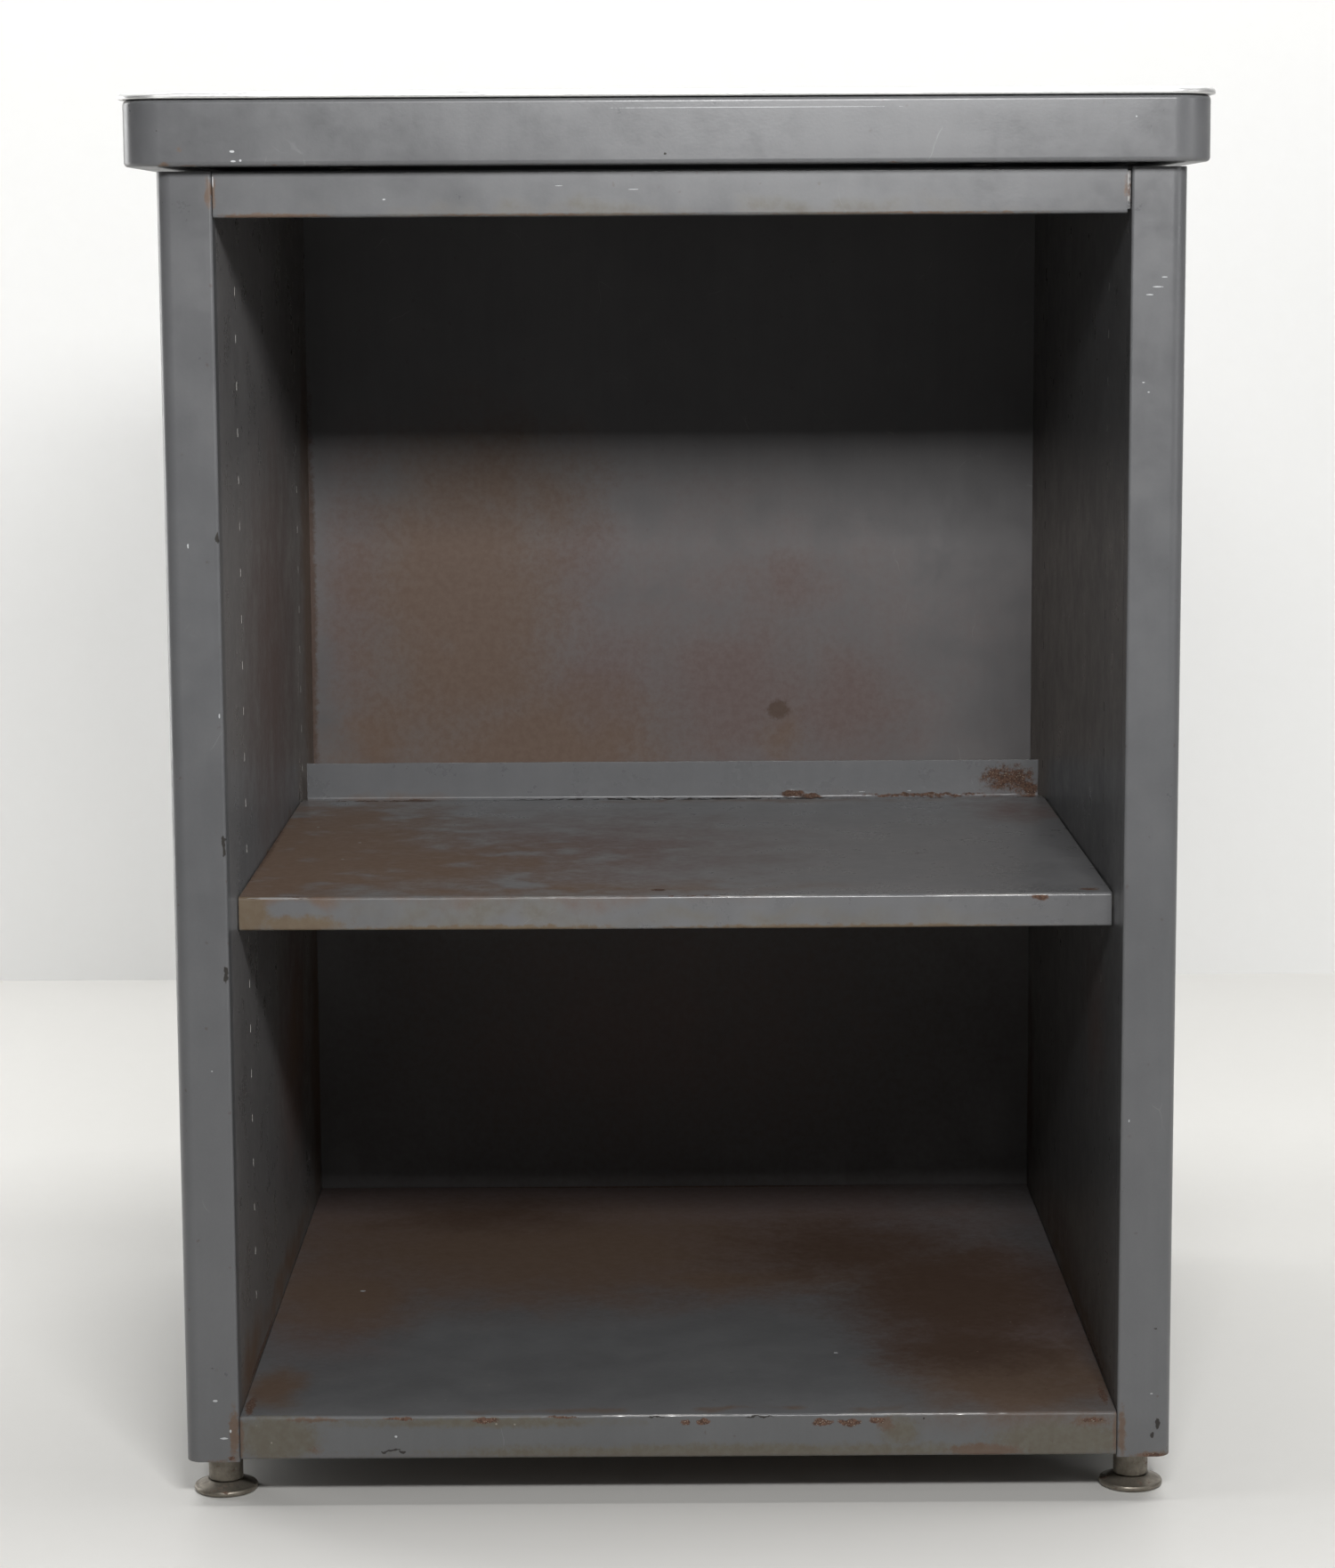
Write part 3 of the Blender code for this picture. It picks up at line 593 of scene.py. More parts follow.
class Enamel(Shader):
    """Old enamel on sheet steel, built up in layers over its paint colour."""

    def __init__(self, name, paint, rough, painted_top_light):
        super().__init__(name)
        self.paint = paint
        self.metal = 0.0
        self.bump_strength = 0.14
        self.slow = self.noise(170.0, detail=1.0)
        self.mid = self.noise(34.0, detail=3.0, rough=0.6, seed=1)
        self.small = self.noise(5.0, detail=3.0, rough=0.65, seed=2)
        self.grain = self.noise(1.2, detail=1.0, rough=0.6, seed=3)
        runs = self.noise(9.0, rough=0.6, stretch=(1.0, 1.0, 0.10), seed=4)
        # slow tone shifts, vertical runs and handling haze
        tone = self.total(self.ramp(self.slow, 0.25, 0.75, to=(0.95, 1.04)),
                          self.ramp(self.mid, 0.3, 0.7, to=(-0.035, 0.035)),
                          self.ramp(runs, 0.35, 0.7, to=(-0.02, 0.02)),
                          self.ramp(self.grain, 0.3, 0.7, to=(-0.015, 0.015)))
        self.color = self.vector_math("SCALE", paint, scale=tone)
        haze = self.ramp(self.mid, 0.52, 0.75)
        self.lay(self.product(haze, 0.16), tinted(paint, (1.12, 1.10, 1.04)))
        self.rough = self.total(
            self.ramp(self.mid, 0.25, 0.75, to=(rough - 0.05, rough + 0.07)),
            self.ramp(self.small, 0.3, 0.7, to=(-0.02, 0.03)))
        self.top_lit_paint = None
        if painted_top_light:                  # painted light: what faces up is brightened for the light and reflection it catches
            upward = self.xyz(self.add("NewGeometry").outputs["Normal"])[2]
            facing_up = self.ramp(upward, 0.75, 0.95)
            self.color = self.brighten_top(self.color, facing_up, painted_top_light)
            self.top_lit_paint = self.brighten_top(paint, facing_up, painted_top_light)

    # Painted light: scales a colour up on upward faces, standing for the light they catch.
    def brighten_top(self, color, facing_up, amount):
        lift = self.total(1.0, self.product(facing_up, amount))
        return self.vector_math("SCALE", color, scale=lift)

    def lay(self, mask, color, rough=None):
        """Covers what is there with a colour and, if given, a roughness."""
        self.color = self.mix_color(mask, self.color, color)
        if rough is not None:
            self.rough = self.mix_value(mask, self.rough, rough)

    def scratches(self):
        """Hairlines, only here and there."""
        hair = self.cells(46.0, "DISTANCE_TO_EDGE", at=self.wobbled("broad"),
                          stretch=(1.0, 1.0, 0.55))
        hair = self.product(self.ramp(hair, 0.0016, 0.0048, to=(1.0, 0.0)),
                            self.ramp(self.mid, 0.58, 0.68))
        self.lay(self.product(hair, 0.30), tinted(self.paint, (2.1, 2.1, 2.1)))

    def stain(self, tint, blobs, wobble, speckle, softness):
        field = self.blobs(blobs, wobble, ease=wobble == "fine")
        ragged = self.total(
            self.ramp(self.small, 0.25, 0.75, to=(-speckle, speckle)),
            self.ramp(self.grain, 0.3, 0.7, to=(-speckle * 0.6, speckle * 0.6)),
            self.ramp(self.mid, 0.3, 0.7, to=(-0.10, 0.10)))
        field = self.total(field, self.product(ragged, self.ramp(field, 0.0, 0.25)))
        mask = self.ramp(field, 0.5 - softness, 0.5 + softness)
        color = self.mix_color(self.ramp(self.small, 0.3, 0.7), tinted(self.paint, tint),
                               tinted(self.paint, tinted(tint, (0.88, 0.83, 0.80))))
        # The same painted top light, carried into the stain's colour.
        if self.top_lit_paint:
            lift = self.vector_math("DIVIDE", self.top_lit_paint, self.paint)
            color = self.mix_color(1.0, lift, color, "MULTIPLY")
        self.lay(mask, color)
        self.rough = self.mix_value(self.product(mask, 0.7), self.rough, 0.60)

    def flecks(self, amount):
        spots = self.cells(11.0, at=self.wobbled("fine"))
        spots = self.product(self.ramp(spots, 0.04, 0.11, to=(1.0, 0.0)),
                             self.ramp(self.slow, 0.46, 0.60))
        self.lay(self.product(spots, amount), (0.055, 0.027, 0.015))

    def rust(self, blobs):
        """Raised brown scale with pale grains."""
        ragged = self.noise(2.0, detail=3.0, rough=0.7, seed=8)
        field = self.total(self.blobs(blobs, "fine"), self.jitter(ragged, 0.8))
        mask = self.ramp(field, 0.26, 0.66)
        color = self.mix_color(self.ramp(self.grain, 0.35, 0.65),
                               (0.060, 0.032, 0.021), (0.120, 0.064, 0.042))
        grains = self.noise(0.8, detail=1.0, rough=0.6, seed=10)
        color = self.mix_color(self.ramp(grains, 0.62, 0.72), color, (0.30, 0.25, 0.20))
        self.lay(mask, color, rough=0.88)
        self.bump_strength = self.ramp(mask, 0.0, 1.0, to=(self.bump_strength, 0.95))

    def marks(self, blobs):
        """Dark scuffs."""
        field = self.total(self.blobs(blobs, "fine"), self.jitter(self.grain, 0.5))
        self.lay(self.ramp(field, 0.35, 0.6), (0.020, 0.017, 0.014), rough=0.7)

    def chips(self, blobs):
        """Pale bare spots."""
        field = self.total(self.blobs(blobs), self.jitter(self.grain, 0.7))
        self.lay(self.ramp(field, 0.42, 0.55), (0.46, 0.47, 0.48), rough=0.5)

    def dust(self, amount):
        """Scattered pale specks."""
        specks = self.product(self.ramp(self.cells(9.0), 0.045, 0.075, to=(1.0, 0.0)),
                              self.ramp(self.mid, 0.57, 0.62))
        self.lay(self.product(specks, amount), (0.42, 0.38, 0.33))

    def worn_folds(self, blobs):
        """Bright rubbed metal where the surface is square to no axis."""
        sides = self.xyz(self.add("NewGeometry").outputs["True Normal"])
        x, y, z = [self.math("ABSOLUTE", side) for side in sides]
        fold = self.math("SUBTRACT", 1.0,
                         self.math("MAXIMUM", x, self.math("MAXIMUM", y, z)))
        mask = self.product(self.ramp(fold, 0.08, 0.20), self.blobs(blobs))
        ragged = self.noise(7.0, detail=3.0, rough=0.7, stretch=(0.35, 1.0, 1.0), seed=13)
        mask = self.ramp(self.total(mask, self.math("SUBTRACT", ragged, 0.62)), 0.40, 0.60)
        self.lay(mask, (0.60, 0.59, 0.57), rough=0.30)
        self.metal = self.product(mask, 0.7)

    def cut_edge(self):
        """Bare and rusty patches of a sheet's cut edge."""
        ragged = self.noise(11.0, detail=3.0, rough=0.7, seed=14)
        mask = self.ramp(self.total(ragged, self.product(self.grain, 0.25)), 0.55, 0.72)
        color = self.mix_color(self.ramp(self.small, 0.45, 0.62),
                               (0.34, 0.33, 0.32), (0.10, 0.050, 0.028))
        self.lay(self.product(mask, 0.8), color)
        self.rough = self.mix_value(mask, self.rough, 0.5)


def painted(name, stains=(), rust=(), marks=(), chips=(), worn=(), tint=(1.0, 1.0, 1.0),
            rough=0.33, painted_top_light=0.0, flecks=0.0, dust=0.0, edge=False, rusty_average=0.0):
    """An enamel with its layers, from the paint outwards.

    painted_top_light brightens what faces up; dust and flecks are specks; edge is for cut
    What faces up is brightened by the argument after rough: painted light for the light and
    reflection upward faces catch; dust and flecks are specks; edge is for cut edges; rusty_average
    warms what bounced light meets."""
    paint = tinted(PAINT, tint)
    g = Enamel(name, paint, rough, painted_top_light)
    g.scratches()
    for stain in stains:
        g.stain(**stain)
    if flecks:
        g.flecks(flecks)
    if rust:
        g.rust(rust)
    if marks:
        g.marks(marks)
    if chips:
        g.chips(chips)
    if dust:
        g.dust(dust)
    if worn:
        g.worn_folds(worn)
    if edge:
        g.cut_edge()
    height = g.total(g.product(g.noise(1.6, rough=0.65, seed=11), 0.9),
                     g.product(g.noise(42.0, detail=0.0, seed=16), 1.1))
    warmth = 1.0 - 0.35 * rusty_average
    average = tinted(paint, (1.0, warmth, warmth * warmth))
    plain = (tinted(average, (0.93,) * 3), tinted(average, (1.03,) * 3), 0.5, 0.0)
    return g.finish(g.color, g.rough, g.metal,
                    g.bump(height, g.bump_strength, distance=0.00020), plain)


# --------------------------------------------------------------- other finishes
def bare(name, color1, color2, rough=0.42, metal=0.9, brushed=(1.0, 1.0, 1.0),
         rusty=0.0, pits=0.0, size=16.0):
    """Bare or plated metal with grain, tarnish and, if wanted, rust bloom and pits.

    brushed stretches the grain; size is that of the tarnish, in mm."""
    g = Shader(name)
    tarnish = g.noise(size, detail=4.0, rough=0.65)
    fine = g.noise(1.1, rough=0.65, seed=1)
    line = g.noise(0.9, rough=0.6, stretch=brushed, seed=2)
    color = g.mix_color(g.ramp(tarnish, 0.32, 0.68), color1, color2)
    color = g.mix_color(g.ramp(line, 0.35, 0.65, to=(0.0, 0.18)), color,
                        tinted(color1, (1.35, 1.33, 1.3)))
    roughness = g.total(g.ramp(tarnish, 0.3, 0.7, to=(rough - 0.07, rough + 0.10)),
                        g.ramp(line, 0.3, 0.7, to=(-0.03, 0.03)))
    metallic = metal
    bump_strength = 0.18
    if rusty:
        bloom = g.noise(9.0, detail=4.0, rough=0.7, seed=3)
        mask = g.ramp(g.total(bloom, g.product(fine, 0.25)),
                      0.86 - 0.42 * rusty, 1.02 - 0.42 * rusty)
        rust = g.mix_color(g.ramp(fine, 0.35, 0.65),
                           (0.060, 0.028, 0.016), (0.135, 0.066, 0.038))
        color = g.mix_color(mask, color, rust)
        roughness = g.mix_value(mask, roughness, 0.82)
        metallic = g.mix_value(mask, metal, 0.0)
        bump_strength = g.ramp(mask, 0.0, 1.0, to=(bump_strength, 0.7))
    if pits:
        spots = g.cells(2.6, at=g.wobbled("fine"))
        mask = g.product(g.ramp(spots, 0.08, 0.2, to=(1.0, 0.0)), g.ramp(tarnish, 0.52, 0.66))
        color = g.mix_color(g.product(mask, pits), color, tinted(color1, (0.35, 0.33, 0.30)))
    height = g.total(g.product(line, 0.6), g.product(fine, 0.4))
    plain = (color1, color2, rough + 0.05, metal * (0.5 if rusty else 1.0))
    return g.finish(color, roughness, metallic,
                    g.bump(height, bump_strength, distance=0.00012), plain)


def linoleum(name):
    """Dark linoleum with a faint ring mark and scratches."""
    ring_centre, ring_radius = (95.0, 60.0, 750.0), 41.0
    g = Shader(name)
    cloud = g.noise(28.0, detail=4.0, rough=0.7)
    streak = g.noise(3.2, detail=3.0, rough=0.7, stretch=(1.0, 0.35, 1.0), seed=1)
    fine = g.noise(0.8, rough=0.6, seed=2)
    color = g.mix_color(g.ramp(cloud, 0.3, 0.7), (0.066, 0.063, 0.057), (0.080, 0.076, 0.069))
    color = g.mix_color(g.ramp(streak, 0.45, 0.75, to=(0.0, 0.20)), color, (0.125, 0.118, 0.106))
    distance = g.vector_math("DISTANCE", g.wobbled("fine"), ring_centre)
    ring = g.math("ABSOLUTE", g.math("SUBTRACT", distance, ring_radius))
    color = g.mix_color(g.ramp(ring, 0.6, 2.2, to=(0.25, 0.0)), color, (0.16, 0.15, 0.135))
    scratch = g.cells(70.0, "DISTANCE_TO_EDGE", at=g.wobbled("broad"), stretch=(1.0, 0.5, 1.0))
    scratch = g.product(g.ramp(scratch, 0.001, 0.004, to=(1.0, 0.0)), g.ramp(cloud, 0.52, 0.62))
    color = g.mix_color(g.product(scratch, 0.5), color, (0.20, 0.19, 0.17))
    height = g.total(g.product(fine, 0.7), streak)
    plain = ((0.065, 0.061, 0.055), (0.085, 0.080, 0.073), 0.5, 0.0)
    return g.finish(color, g.ramp(cloud, 0.3, 0.7, to=(0.46, 0.62)), 0.0,
                    g.bump(height, 0.25, distance=0.00012), plain)


def one_sided(name, color, rough):
    """Pale surface that lets the eye and light through from behind."""
    g = Shader(name)
    cloud = g.noise(900.0, detail=3.0, rough=0.6)
    fine = g.noise(14.0, detail=3.0, rough=0.6, seed=2)
    shade = g.mix_color(g.ramp(cloud, 0.3, 0.7), tinted(color, (0.98, 0.98, 0.975)), color)
    shade = g.mix_color(g.ramp(fine, 0.3, 0.8, to=(0.0, 0.10)), shade,
                        tinted(color, (0.93, 0.92, 0.90)))
    g.finish(shade, rough, 0.0, g.bump(fine, 0.10, distance=0.0006),
             (color, tinted(color, (0.97, 0.97, 0.97)), 0.7, 0.0), specular=0.3)
    clear = g.add("BsdfTransparent").outputs[0]
    behind = g.add("NewGeometry").outputs["Backfacing"]
    g.put(g.output.inputs[0], g.mix_shader(behind, g.surface, clear))
    return g.material


# ------------------------------------------------------- finish of each sheet
SIDE = painted(
    "enamel_side",
    stains=[
        broad_stain(GREEN, patches(Y, 0, 700, (0, 22, 300, 62, 0.95))),
        close_stain(BROWN, softness=0.30, blobs=(
            patches(Y, 0, 6, (-239, 40, 4.5, 26, 0.85), (239, 38, 4.0, 24, 0.75))
            + patches(Y, 2, 12, (254, 25, 18, 5.0, 0.9), (-250, 25, 14, 3.0, 0.6))
            + patches(Y, 0, 6, (-238, 700, 3.0, 14, 0.8))
            + patches(Y, 521, 8, (0, 26, 270, 12, 0.55))
            + patches(Z, 25, 7, (-265, 300, 6, 260, 0.6), (265, 250, 6, 260, 0.55))))],
    rust=patches(Y, 0, 6, (256, 25.5, 10, 2.2, 0.8), (-240.5, 27, 3.2, 2.0, 0.7)),
    marks=patches(
        Y, 0, 5,
        (-237.6, 361, 1.5, 9), (-237.8, 292, 1.3, 7, 0.9), (-237.2, 523, 1.2, 4, 0.8),
        (258.0, 43, 2.0, 4.5), (255.0, 37, 1.4, 3.0, 0.9), (-249.5, 77, 3.5, 0.8, 0.5),
        (256.0, 96, 1.6, 0.8, 0.8)),
    chips=patches(
        Y, 0, 4,
        (-248.9, 59, 2.0, 0.9), (-244.5, 38, 3.6, 0.8, 0.9), (-241.0, 42, 1.0, 1.6, 0.8),
        (250.0, 650, 4.2, 0.45), (246.0, 646, 3.0, 0.4), (253.5, 655, 2.4, 0.4, 0.9),
        (243.2, 601, 1.2, 0.5, 0.8), (246.0, 596, 1.0, 0.5, 0.8), (-252.6, 519, 0.8, 2.2, 0.8),
        (-238.3, 430, 0.8, 2.8, 0.7), (-246.5, 240, 1.0, 0.6, 0.7), (240.6, 210, 0.8, 1.8, 0.6),
        (254.5, 60, 1.4, 0.5, 0.8)),
    flecks=0.4)
SIDE_EDGE = painted("enamel_side_edge", edge=True)
APRON = painted(
    "enamel_apron",
    stains=[close_stain(BROWN, softness=0.32, blobs=patches(
        Y, -15, 6,
        (-258.6, 712.9, 6, 3.6, 0.95), (-245, 713, 9, 1.8, 0.9), (-200, 713, 30, 1.2, 0.7),
        (-60, 713, 60, 1.0, 0.6), (120, 713, 60, 1.0, 0.6), (-250, 722, 4, 4, 0.5)))],
    marks=(patches(Y, -15.2, 4, (-3.2, 718.4, 1.3, 1.3))
           + patches(Y, -15, 4, (-262, 731, 1.5, 1.0, 0.5))),
    chips=patches(
        Y, -15.2, 4,
        (-223.5, 720.8, 2.0, 0.9), (-223.0, 715.9, 2.2, 0.8, 0.9), (-219.4, 716.2, 1.0, 1.0, 0.9),
        (40.0, 741.6, 120, 0.22, 0.9), (236.0, 736.0, 0.6, 0.6, 0.8)),
    flecks=0.3)
RAIL = painted(
    "enamel_header",
    stains=[
        close_stain(BROWN, softness=0.32, blobs=patches(
            Y, 0, 6,
            (-205, 688.3, 45, 2.4, 0.95), (-60, 688.2, 140, 1.6, 0.75),
            (120, 688.2, 140, 1.5, 0.7), (-236, 700, 3.2, 14, 0.9), (233, 700, 2.5, 14, 0.55))),
        broad_stain(GREEN, patches(Y, 0, 6, (0, 690, 260, 9, 0.75)))],
    chips=patches(Y, 0, 4, (-148, 696.5, 1.4, 0.6, 0.8), (-20, 701, 5, 0.25, 0.8),
                  (-58, 703, 4, 0.25, 0.7), (-235.5, 706, 0.5, 4.5, 0.9)),
    flecks=0.35)
RAIL_EDGE = painted("enamel_header_edge", edge=True)
INNER_BACK = painted(
    "enamel_inner_back", tint=(1.19, 1.13, 1.10), rusty_average=0.35,
    stains=[
        # painted shade over the back wall below the shelf
        broad_stain(PAINTED_SHADE, patches(Y, 494, 40, (0, 150, 420, 210, 1.3)), speckle=0.03),
        broad_stain(MAUVE, patches(
            Y, 494, 25,
            (0, 400, 300, 190, 0.55), (40, 385, 105, 95, 0.95), (110, 372, 100, 80, 0.85),
            (72, 452, 80, 48, 0.70), (-48, 375, 70, 90, 0.85), (-205, 450, 40, 140, 0.80),
            (-60, 470, 60, 70, 0.75), (-20, 160, 220, 120, 0.6))),
        broad_stain(BROWN, patches(
            Y, 494, 25,
            (-138, 440, 100, 170, 1.15), (-90, 346, 135, 64), (-112, 515, 96, 75, 0.80),
            (-190, 350, 60, 80, 0.8), (70, 352, 22, 34, 0.6))),
        close_stain(DARK, softness=0.42, blobs=patches(
            Y, 494, 25,
            (69.7, 371, 11, 10), (-236, 430, 6, 240, 0.8), (0, 324, 240, 5, 0.7)))],
    flecks=0.22, rough=0.36)
LEFT_WALL_PAINTED_LIGHT = painted(
    # painted light: this is the right wall's paint tinted half again brighter, for the light the
    # left wall catches from the right
    "enamel_left_wall_painted_light", tint=(1.38, 1.32, 1.28),
    stains=[
        broad_stain(MAUVE, patches(
            X, -236, 16, (260, 430, 220, 190, 0.80), (330, 185, 150, 120, 0.85))),
        broad_stain(BROWN, patches(
            X, -236, 16,
            (478, 450, 62, 230, 1.05), (350, 190, 90, 70, 0.8), (480, 150, 70, 160),
            (60, 62, 90, 26, 0.85), (260, 60, 220, 16, 0.8), (240, 322, 190, 5, 0.75)))],
    rust=patches(X, -236, 8, (493, 420, 5, 120, 0.75), (120, 52, 120, 4, 0.75)),
    marks=patches(X, -236, 6, (395, 330, 4, 5, 0.9), (60, 322, 3, 5, 0.7)),
    flecks=0.15, rough=0.30)
RIGHT_WALL = painted(
    "enamel_right_wall", tint=(0.92, 0.92, 0.92),
    stains=[
        broad_stain(MAUVE, patches(
            X, 236, 16, (120, 240, 90, 70, 0.62), (260, 70, 240, 34, 0.75))),
        broad_stain(BROWN, patches(
            X, 236, 16, (200, 58, 260, 14, 0.9), (480, 120, 40, 110, 0.75)))],
    rust=patches(X, 236, 8, (120, 52, 120, 4, 0.7)),
    flecks=0.1, rough=0.32)
# Painted light and shade: one bare cut edge for the slots, made pale on the left wall for the
# light that catches it and near-black on the right wall for the shade it sits in.
LIT_SLOT_EDGE = bare("slot_edge_painted_light", (0.62, 0.61, 0.58), (0.44, 0.42, 0.38),
                      rough=0.55, metal=0.0)
SHADED_SLOT_EDGE = bare("slot_edge_painted_shade", (0.060, 0.058, 0.055), (0.040, 0.038, 0.035),
                       rough=0.55, metal=0.2)
BOTTOM = painted(
    # painted light: the deck's upward faces are brightened by 0.30 for the light and reflection
    # they catch
    "enamel_bottom_shelf", tint=(0.93, 0.93, 0.92), painted_top_light=0.30, rusty_average=0.7,
    stains=[
        broad_stain(MAUVE, patches(
            Z, 50, 25,
            (-60, 430, 400, 290, 1.35), (-205, 250, 80, 210), (190, 200, 120, 260, 1.1))),
        broad_stain(BROWN, patches(
            Z, 50, 25,
            (-90, 330, 280, 170), (190, 60, 95, 110, 1.05), (-222, 48, 26, 52),
            (-200, 230, 75, 115, 0.95), (20, 270, 150, 60, 0.8))
            + patches(Z, 50, 4, (0, 9, 240, 7, 0.62))),
        broad_stain(DARK, patches(
            Z, 50, 25,
            (165, 235, 105, 175, 1.10), (168, 118, 82, 70), (110, 330, 130, 120, 0.85),
            (-120, 420, 110, 70, 0.75))),
        close_stain(YELLOW, softness=0.42, blobs=patches(
            Y, 0, 6,
            (-216, 38, 34, 20), (205, 34, 60, 17), (30, 29, 300, 8, 0.75),
            (-110, 46, 150, 5, 0.7), (120, 40, 18, 14, 0.75))),
        close_stain(BROWN, softness=0.34, blobs=(
            patches(Y, 0, 6, (166, 29, 32, 6.0, 0.95))
            + patches(Y, 0, 8, (-236, 38, 3.4, 18), (236, 38, 3.2, 18, 0.95))
            + patches(Y, 0, 6, (222, 45, 18, 5.0, 0.8), (-196, 48, 30, 2.2, 0.7),
                      (112, 44, 8, 7.0, 0.7), (-195, 31, 8, 5, 0.5))))],
    rust=(patches(
        Y, 0, 6,
        (-103.8, 47.0, 11, 2.6), (3.8, 45.4, 4.0, 2.8), (13.6, 45.6, 5.2, 2.8),
        (77.8, 45.2, 9, 3.0), (92.2, 45.0, 9.5, 3.2), (107, 46.0, 7, 2.8, 0.9),
        (223, 45.6, 12, 2.6, 0.72), (-150, 48.3, 16, 1.3, 0.7), (-62, 48.6, 18, 1.2, 0.7))
        + patches(Z, 50, 4, (-232, 20, 5, 30, 0.75), (232, 30, 4, 30, 0.7))
        + patches(Z, 50, 6, (0, 492, 240, 6, 0.7))),
    marks=(patches(Y, 0, 5, (-153.9, 30.9, 7.5, 1.0), (-158.8, 30.0, 3.0, 0.9, 0.9),
                   (-148.5, 30.0, 3.0, 0.8, 0.9))
           + patches(Y, 0, 4, (45, 48.6, 14, 0.8, 0.8), (-12, 48.7, 9, 0.7, 0.8),
                     (132, 47, 1.6, 1.2, 0.7))),
    chips=(patches(Y, 0, 4, (-152, 38.5, 1.2, 0.9, 0.9))
           + patches(Z, 50, 3, (90, 112, 2.2, 2.2, 0.9), (-189, 245, 3, 2.4, 0.9))),
    worn=patches(Y, 0, 8, (-150, 50, 75, 8, 0.45), (0, 50, 130, 8, 0.62), (130, 50, 130, 8, 0.66)),
    dust=0.45, flecks=0.4, rough=0.36)
SHELF = painted(
    # painted light: the shelf's upward faces are brightened by 0.36 for the light and reflection
    # they catch
    "enamel_shelf", tint=(1.28, 1.27, 1.26), painted_top_light=0.36,
    stains=[
        broad_stain(MAUVE, patches(
            Z, 326, 9, (-60, 200, 190, 210, 0.70), (215, 345, 46, 80, 0.80))),
        broad_stain(BROWN, patches(
            Z, 326, 9,
            (-225, 190, 150, 330, 1.25), (-150, 150, 150, 150, 0.95),
            (-196, 320, 90, 120, 0.95), (-70, 64, 220, 40, 0.75), (-9, 66, 10, 12, 0.95),
            (-125, 60, 14, 10, 0.8))
            + patches(Z, 326, 6, (50, 392, 200, 12, 0.66))),
        broad_stain(GREEN, patches(
            Y, 43, 6, (-110, 315, 110, 14, 0.72), (60, 312, 200, 9, 0.60))),
        close_stain(PEACH, softness=0.40, blobs=patches(
            Y, 43, 7,
            (-231, 316, 18, 17, 1.1), (-205, 311, 46, 8, 0.85),
            (-110, 308.2, 130, 3.0, 0.85), (90, 308.0, 170, 2.6, 0.85))),
        close_stain(DARK, softness=0.37, blobs=(
            patches(Z, 326, 9, (-236, 200, 4.5, 200, 0.8))
            + patches(Z, 326, 5, (-162, 396, 20, 7, 0.85))))],
    rust=(patches(Y, 399, 5, (212, 337, 36, 18, 0.80), (225, 331, 16, 10, 0.95),
                  (76, 328.8, 13, 3.6, 1.15), (88, 327.2, 10, 2.6, 1.05),
                  (160, 327.6, 80, 2.6, 0.85))
          + patches(Y, 43, 5, (197, 324, 7.5, 2.8))
          + patches(Z, 326, 3, (-9, 62, 7, 7, 0.8))
          + patches(Y, 43, 5, (-205, 325.6, 18, 1.2, 0.6), (20, 325.8, 60, 1.0, 0.62))
          + patches(Y, 397, 5, (-185, 326.6, 60, 2.2, 0.72))
          + patches(Z, 326, 3, (225, 55, 12, 10, 0.6))),
    marks=(patches(Y, 398.8, 3.2, (0, 326.3, 235, 1.5, 0.80))
           + patches(Z, 326, 3, (140, 180, 5, 2, 0.7))),
    chips=(patches(Y, 399, 4, (120, 329.6, 7, 0.8, 0.9), (150, 330.0, 4, 0.9, 0.9))
           + patches(Z, 326, 3, (-185, 230, 1.8, 2.0, 0.8), (-215, 290, 1.5, 1.6, 0.8),
                     (-190, 170, 1.5, 1.6, 0.8))),
    worn=patches(Y, 43, 8, (-215, 326, 36, 8, 0.8), (-60, 326, 90, 8, 0.60),
                 (60, 326, 110, 8, 0.8), (175, 326, 75, 8)),
    flecks=0.12, rough=0.30)
SHELF_EDGE = painted("enamel_shelf_edge", edge=True, stains=[
    broad_stain(BROWN, patches(Y, 400, 8, (0, 349, 260, 8, 0.6)))])
OUTER_BACK = painted(
    "enamel_outer_back",
    stains=[broad_stain(BROWN, patches(
        Y, 519, 8, (0, 26, 260, 12, 0.75), (-120, 60, 60, 30, 0.5)))],
    chips=patches(Y, 519, 4, (60, 480, 5, 0.5, 0.9), (-90, 610, 3, 0.5, 0.9)),
    flecks=0.3)
TRIM = bare("bright_edging", (0.80, 0.80, 0.80), (0.70, 0.70, 0.69), rough=0.38, metal=0.80,
            brushed=(0.25, 0.25, 1.0), pits=0.25, size=40.0)
LINOLEUM = linoleum("dark_linoleum")
GLIDE = bare("glide_metal", (0.26, 0.235, 0.195), (0.17, 0.150, 0.122), rough=0.46, metal=0.75,
             brushed=(1, 1, 0.25), rusty=0.45, size=9.0)
PLATED = bare("dull_zinc", (0.48, 0.47, 0.44), (0.34, 0.33, 0.30), rusty=0.25, pits=0.5)
DARK_STEEL = bare("blackened_steel", (0.035, 0.033, 0.031), (0.022, 0.021, 0.020),
                  rough=0.6, metal=0.3, rusty=0.3)
RAW_STEEL = bare("mill_steel", (0.17, 0.165, 0.16), (0.11, 0.105, 0.10), rough=0.52, metal=0.65,
                 brushed=(0.08, 1, 1), rusty=0.50, pits=0.4, size=30.0)


